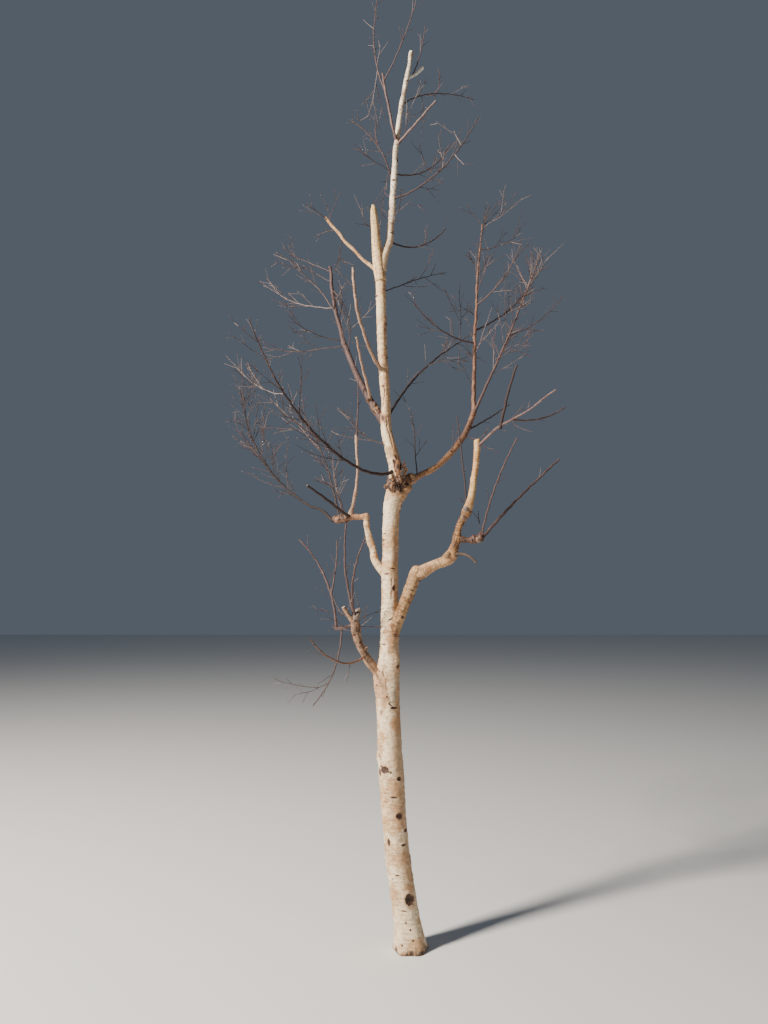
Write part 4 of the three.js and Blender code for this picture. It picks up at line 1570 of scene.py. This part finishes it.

# A kind of bark: its pale, warm and deep colours and that of its lenticels, how much of it is warm
# and how much deep, how much long streaks and lenticels show, how close the lenticels are together
# round and along the limb, how close its broad patches are, its roughness, how much painted shade in
# tan its right and lower side get, and the tint of the twigs that grow on it.
Bark = namedtuple(
    "Bark", "pale warm deep lenticel warmth depth streaks shown spacing patches gloss shade twigs"
)
BARKS = {
    "white": Bark(
        (.88, .71, .47), (.50, .275, .125), (.26, .155, .09), (.08, .05, .035),
        .85, .45, .12, .65, (36, 250), 9.0, .60, 0, "pale"),
    "cream": Bark(
        (.86, .76, .58), (.44, .30, .19), (.15, .105, .085), (.05, .03, .022),
        .75, .85, .15, .90, (70, 300), 14.0, .58, .70, "pale"),
    # The peg's own pale bark, painted paler still as painted light, as the leader shades it.
    "lit_chalk": Bark(
        (.98, .90, .74), (.74, .60, .44), (.42, .32, .24), (.10, .06, .045),
        .50, .35, .15, .50, (90, 300), 14.0, .58, 0, "pale"),
    "straw": Bark(
        (.76, .57, .26), (.60, .34, .12), (.36, .17, .06), (.12, .07, .04),
        .50, .40, .80, .40, (90, 420), 16.0, .65, .85, "pale"),
    "wheat": Bark(
        (.82, .64, .40), (.52, .26, .10), (.17, .075, .035), (.05, .03, .02),
        .75, .65, .25, .75, (80, 360), 16.0, .62, .80, "pale"),
    "ochre": Bark(
        (.50, .31, .150), (.23, .098, .036), (.065, .030, .018), (.04, .025, .018),
        .90, .90, .40, .75, (70, 360), 17.0, .66, 0, "red"),
    "amber": Bark(
        (.60, .35, .170), (.38, .155, .070), (.105, .045, .032), (.05, .03, .02),
        .80, .55, .35, .50, (90, 400), 18.0, .60, 0, "red"),
    "plum": Bark(
        (.190, .120, .105), (.095, .052, .046), (.034, .020, .020), (.36, .26, .21),
        .85, .80, .45, .35, (110, 440), 20.0, .55, 0, "red"),
    "ash": Bark(
        (.34, .30, .265), (.20, .160, .13), (.08, .058, .046), (.05, .04, .03),
        .85, .70, .40, .40, (90, 400), 24.0, .70, 0, "pale"),
    "honey": Bark(
        (.70, .46, .20), (.46, .20, .070), (.17, .075, .035), (.05, .03, .02),
        .80, .70, .30, .75, (80, 360), 18.0, .62, .85, "pale"),
    "bronze": Bark(
        (.44, .225, .090), (.135, .052, .020), (.036, .017, .010), (.03, .02, .015),
        .78, .90, .70, .75, (80, 360), 20.0, .62, 0, "red"),
    "umber": Bark(
        (.40, .25, .155), (.18, .095, .058), (.055, .030, .022), (.03, .02, .015),
        .90, .90, .50, .70, (90, 380), 32.0, .64, 0, "red"),
    "tan": Bark(
        (.56, .36, .185), (.30, .135, .052), (.085, .040, .024), (.05, .03, .02),
        .85, .85, .35, .75, (70, 360), 17.0, .66, .60, "red"),
    "ruddy": Bark(
        (.125, .062, .042), (.062, .028, .021), (.026, .014, .011), (.34, .22, .16),
        .85, .75, .40, .40, (110, 440), 22.0, .55, 0, "red"),
    "pink": Bark(
        (.27, .135, .078), (.130, .052, .030), (.045, .022, .016), (.40, .27, .20),
        .85, .75, .40, .35, (110, 440), 20.0, .55, 0, "red"),
    "rosy": Bark(
        (.42, .28, .20), (.27, .145, .095), (.12, .065, .045), (.05, .03, .025),
        .80, .70, .30, .60, (100, 440), 20.0, .58, .40, "pale"),
    "grey": Bark(
        (.085, .058, .044), (.050, .033, .024), (.025, .017, .013), (.04, .03, .02),
        .60, .60, .50, .40, (100, 440), 20.0, .75, 0, "dark"),
    "red": Bark(
        (.100, .058, .052), (.062, .033, .030), (.034, .019, .019), (.30, .20, .15),
        .70, .65, .30, .40, (170, 480), 22.0, .64, 0, "red"),
    # Very dark: the shoots' own dark bark, made darker still as painted shade.
    "shaded_dark": Bark(
        (.026, .016, .015), (.018, .011, .010), (.010, .007, .007), (.16, .11, .08),
        .70, .60, .30, .20, (170, 480), 22.0, .76, 0, "dark"),
    "dark": Bark(
        (.052, .030, .027), (.034, .019, .017), (.020, .012, .011), (.16, .11, .08),
        .70, .60, .30, .30, (170, 480), 22.0, .72, 0, "dark"),
}


def bark_material(kind):
    bark = BARKS[kind]
    shades = Shades("bark_" + kind)
    straight = shades.painted("straight")
    fine = shades.noise(shades.scaled(straight, (1, 1, 3)), 160.0, 3.0, 0.6)
    colour, flakes, streaks, spots = bark_colour(shades, straight, fine, bark)
    # The tan colours also draw the painted shade that is put in the tan layer.
    for name, pale, deep in (("cream", CREAM, TAN), ("tan", TAN, TAN_DEEP)):
        share = shades.times(shades.painted(name), shades.between(fine, 0.30, 0.60, 0.55, 0.95))
        tint = shades.mix(shades.times(flakes, 0.8), pale, deep)
        tint = shades.mix(shades.times(streaks, 0.45), tint, TAN_DEEP)
        colour = shades.mix(share, colour, tint)
    stain = shades.times(shades.painted("stain"), shades.between(fine, 0.3, 0.6, 0.4, 1.0))
    colour = shades.mix(stain, colour, STAIN)
    shreds = shades.noise(shades.scaled(straight, (1, 1, 0.30)), 130.0, 4.0, 0.65)
    torn = shades.mix(shades.between(shreds, 0.46, 0.60), TORN, TORN_LIGHT)
    rough = shades.times(shades.painted("rough"), shades.between(shreds, 0.25, 0.42, 0.75, 1.0))
    colour = shades.mix(rough, colour, torn)
    dark = shades.painted("dark")
    ragged = shades.noise(straight, 190.0, 3.0, 0.6)
    edge = shades.math("ADD", dark, shades.between(ragged, 0.2, 0.8, -0.09, 0.09))
    colour = shades.mix(shades.between(edge, 0.22, 0.56, 0.0, 0.62), colour, STAIN)
    knot = shades.mix(shades.between(fine, 0.42, 0.62), KNOT, KNOT_LIGHT)
    colour = shades.mix(shades.between(edge, 0.47, 0.54), colour, knot)
    colour = shades.mix(shades.painted("cut"), colour, cut_wood(shades, straight))
    gloss = shades.between(fine, 0.3, 0.7, bark.gloss - 0.08, bark.gloss + 0.12)
    shades.finish(colour, gloss, BARK_SPECULAR)
    height = shades.math("ADD", shades.times(fine, 0.6), shades.times(flakes, 0.30))
    height = shades.math("SUBTRACT", height, shades.times(spots, 0.5))
    height = shades.math("ADD", height, shades.times(shades.times(rough, shreds), 2.5))
    shades.bump(height, 0.6, 0.0014)
    return shades.material


def bark_colour(shades, straight, fine, bark):
    """The bark's own colours: broad patches, flakes with crisp edges, bands, streaks, lenticels."""
    broad = shades.between(shades.noise(straight, bark.patches, 4.0, 0.6), 0.46, 0.56)
    flakes = shades.noise(shades.scaled(straight, (1, 1, 2.2)), 30.0, 4.0, 0.62)
    flakes = shades.between(flakes, 0.50, 0.545)
    small = shades.noise(shades.scaled(straight, (1, 1, 2.5)), 75.0, 3.0, 0.6)
    small = shades.between(small, 0.54, 0.60)
    bands = shades.between(shades.noise(shades.scaled(straight, (1, 1, 9)), 24.0, 3.0), 0.54, 0.66)
    streaks = shades.noise(shades.scaled(straight, (1, 1, 0.10)), 110.0, 3.0, 0.6)
    streaks = shades.between(streaks, 0.50, 0.60)
    around, along = bark.spacing
    spots = shades.noise(shades.scaled(straight, (around, around, along)), 1.0, 1.0)
    spots = shades.between(spots, 0.65, 0.69)
    pale, warm, deep, lenticel = (rgb(*part) for part in bark[:4])
    colour = shades.mix(shades.times(broad, bark.warmth), pale, warm)
    colour = shades.mix(shades.times(flakes, 0.42), colour, pale)
    colour = shades.mix(shades.times(small, 0.5 * bark.warmth), colour, warm)
    colour = shades.mix(shades.times(bands, 0.8 * bark.depth), colour, deep)
    colour = shades.mix(shades.times(streaks, bark.streaks), colour, deep)
    colour = shades.mix(shades.between(fine, 0.45, 0.75, 0.0, 0.7 * bark.depth), colour, deep)
    colour = shades.mix(shades.times(spots, bark.shown), colour, lenticel)
    return colour, flakes, streaks, spots


def cut_wood(shades, straight):
    """A sawn end: yearly rings and a few cracks."""
    flat = shades.scaled(straight, (1, 1, 0))
    spread = shades.node("ShaderNodeVectorMath", {0: flat}, operation="LENGTH").outputs["Value"]
    rings = shades.math("SINE", shades.times(spread, RING_TURNS))
    rings = shades.times(shades.between(rings, -0.2, 1.0), 0.35)
    cracks = shades.between(shades.noise(flat, 260.0, 2.0), 0.60, 0.70, 0.0, 0.5)
    return shades.mix(cracks, shades.mix(rings, WOOD, WOOD_DARK), WOOD_DARK)


# Plain materials: colour, roughness, how strongly they shine, and the scale, detail, strength and
# depth of their grain.
PLAIN = {
    "bud": ((0.12, 0.060, 0.042), 0.45, 0.5, 900.0, 3.0, 0.4, 0.0006),
    "torn_bark": ((0.300, 0.145, 0.070), 0.75, 0.5, 300.0, 3.0, 0.4, 0.0006),
    "shed_bark": ((0.150, 0.115, 0.095), 0.8, 0.5, 300.0, 3.0, 0.4, 0.0006),
    "floor": ((0.72, 0.71, 0.69), 0.9, 0.5, 40.0, 3.0, 0.4, 0.0006),
}
for tint, (colour, _) in TINTS.items():
    PLAIN["twig_" + tint] = (colour, 0.5, BARK_SPECULAR, 900.0, 2.0, 0.3, 0.0004)


def plain_material(name):
    """A plain colour with a fine grain."""
    colour, roughness, specular, scale, detail, strength, depth = PLAIN[name]
    shades = Shades(name)
    shades.finish(rgb(*colour), roughness, specular)
    places = shades.node("ShaderNodeTexCoord").outputs["Object"]
    shades.bump(shades.noise(places, scale, detail), strength, depth)
    return shades.material


def all_materials():
    materials = {kind: bark_material(kind) for kind in BARKS}
    return materials | {name: plain_material(name) for name in PLAIN}


# The studio

CAMERA_AT = (-0.116, -3.517, 1.5)
CAMERA_TILT = 96.5
CAMERA_LENS = 27.035
CAMERA_SENSOR = 36.0
# Each light: its place, what it aims at, its size, power and colour.
LIGHTS = {
    "key": ((-6.2, -3.7, 6.3), (0, 0, 2.2), 1.3, 2300, (1.0, 0.93, 0.83)),
    "fill": ((5.5, -5.0, 3.0), (0, 0, 2.0), 5.0, 30, (0.86, 0.92, 1.0)),
}
AIR_COLOUR, AIR_STRENGTH = (0.33, 0.40, 0.50), 0.28


def build_studio(materials):
    bpy.ops.mesh.primitive_plane_add(size=60, location=(0, 0, 0))
    floor = bpy.context.active_object
    floor.name = "floor"
    floor.data.materials.append(materials["floor"])
    for name, light in LIGHTS.items():
        add_light(name, *light)
    world = bpy.data.worlds.new("studio_air")
    world.use_nodes = True
    background = world.node_tree.nodes["Background"]
    background.inputs["Color"].default_value = rgb(*AIR_COLOUR)
    background.inputs["Strength"].default_value = AIR_STRENGTH
    bpy.context.scene.world = world
    data = bpy.data.cameras.new("camera")
    data.lens = CAMERA_LENS
    data.sensor_width = CAMERA_SENSOR
    turn = (math.radians(CAMERA_TILT), 0, 0)
    bpy.context.scene.camera = placed("camera", data, CAMERA_AT, turn)


def placed(name, data, place, turn):
    thing = bpy.data.objects.new(name, data)
    thing.location = place
    thing.rotation_euler = turn
    bpy.context.scene.collection.objects.link(thing)
    return thing


def add_light(name, place, aim, size, power, colour):
    data = bpy.data.lights.new(name, "AREA")
    data.shape = "DISK"
    data.size = size
    data.energy = power
    data.color = colour
    placed(name, data, place, (Vector(aim) - Vector(place)).to_track_quat("-Z", "Y").to_euler())


materials = all_materials()
build_studio(materials)
build_trunk(materials["white"])
for name in LINES:
    if name != "trunk":
        build_limb(name, materials)
build_lumps(materials)
twigs = all_twigs()
build_twigs(twigs, materials)
build_buds(twigs, materials["bud"])
build_strips(materials)
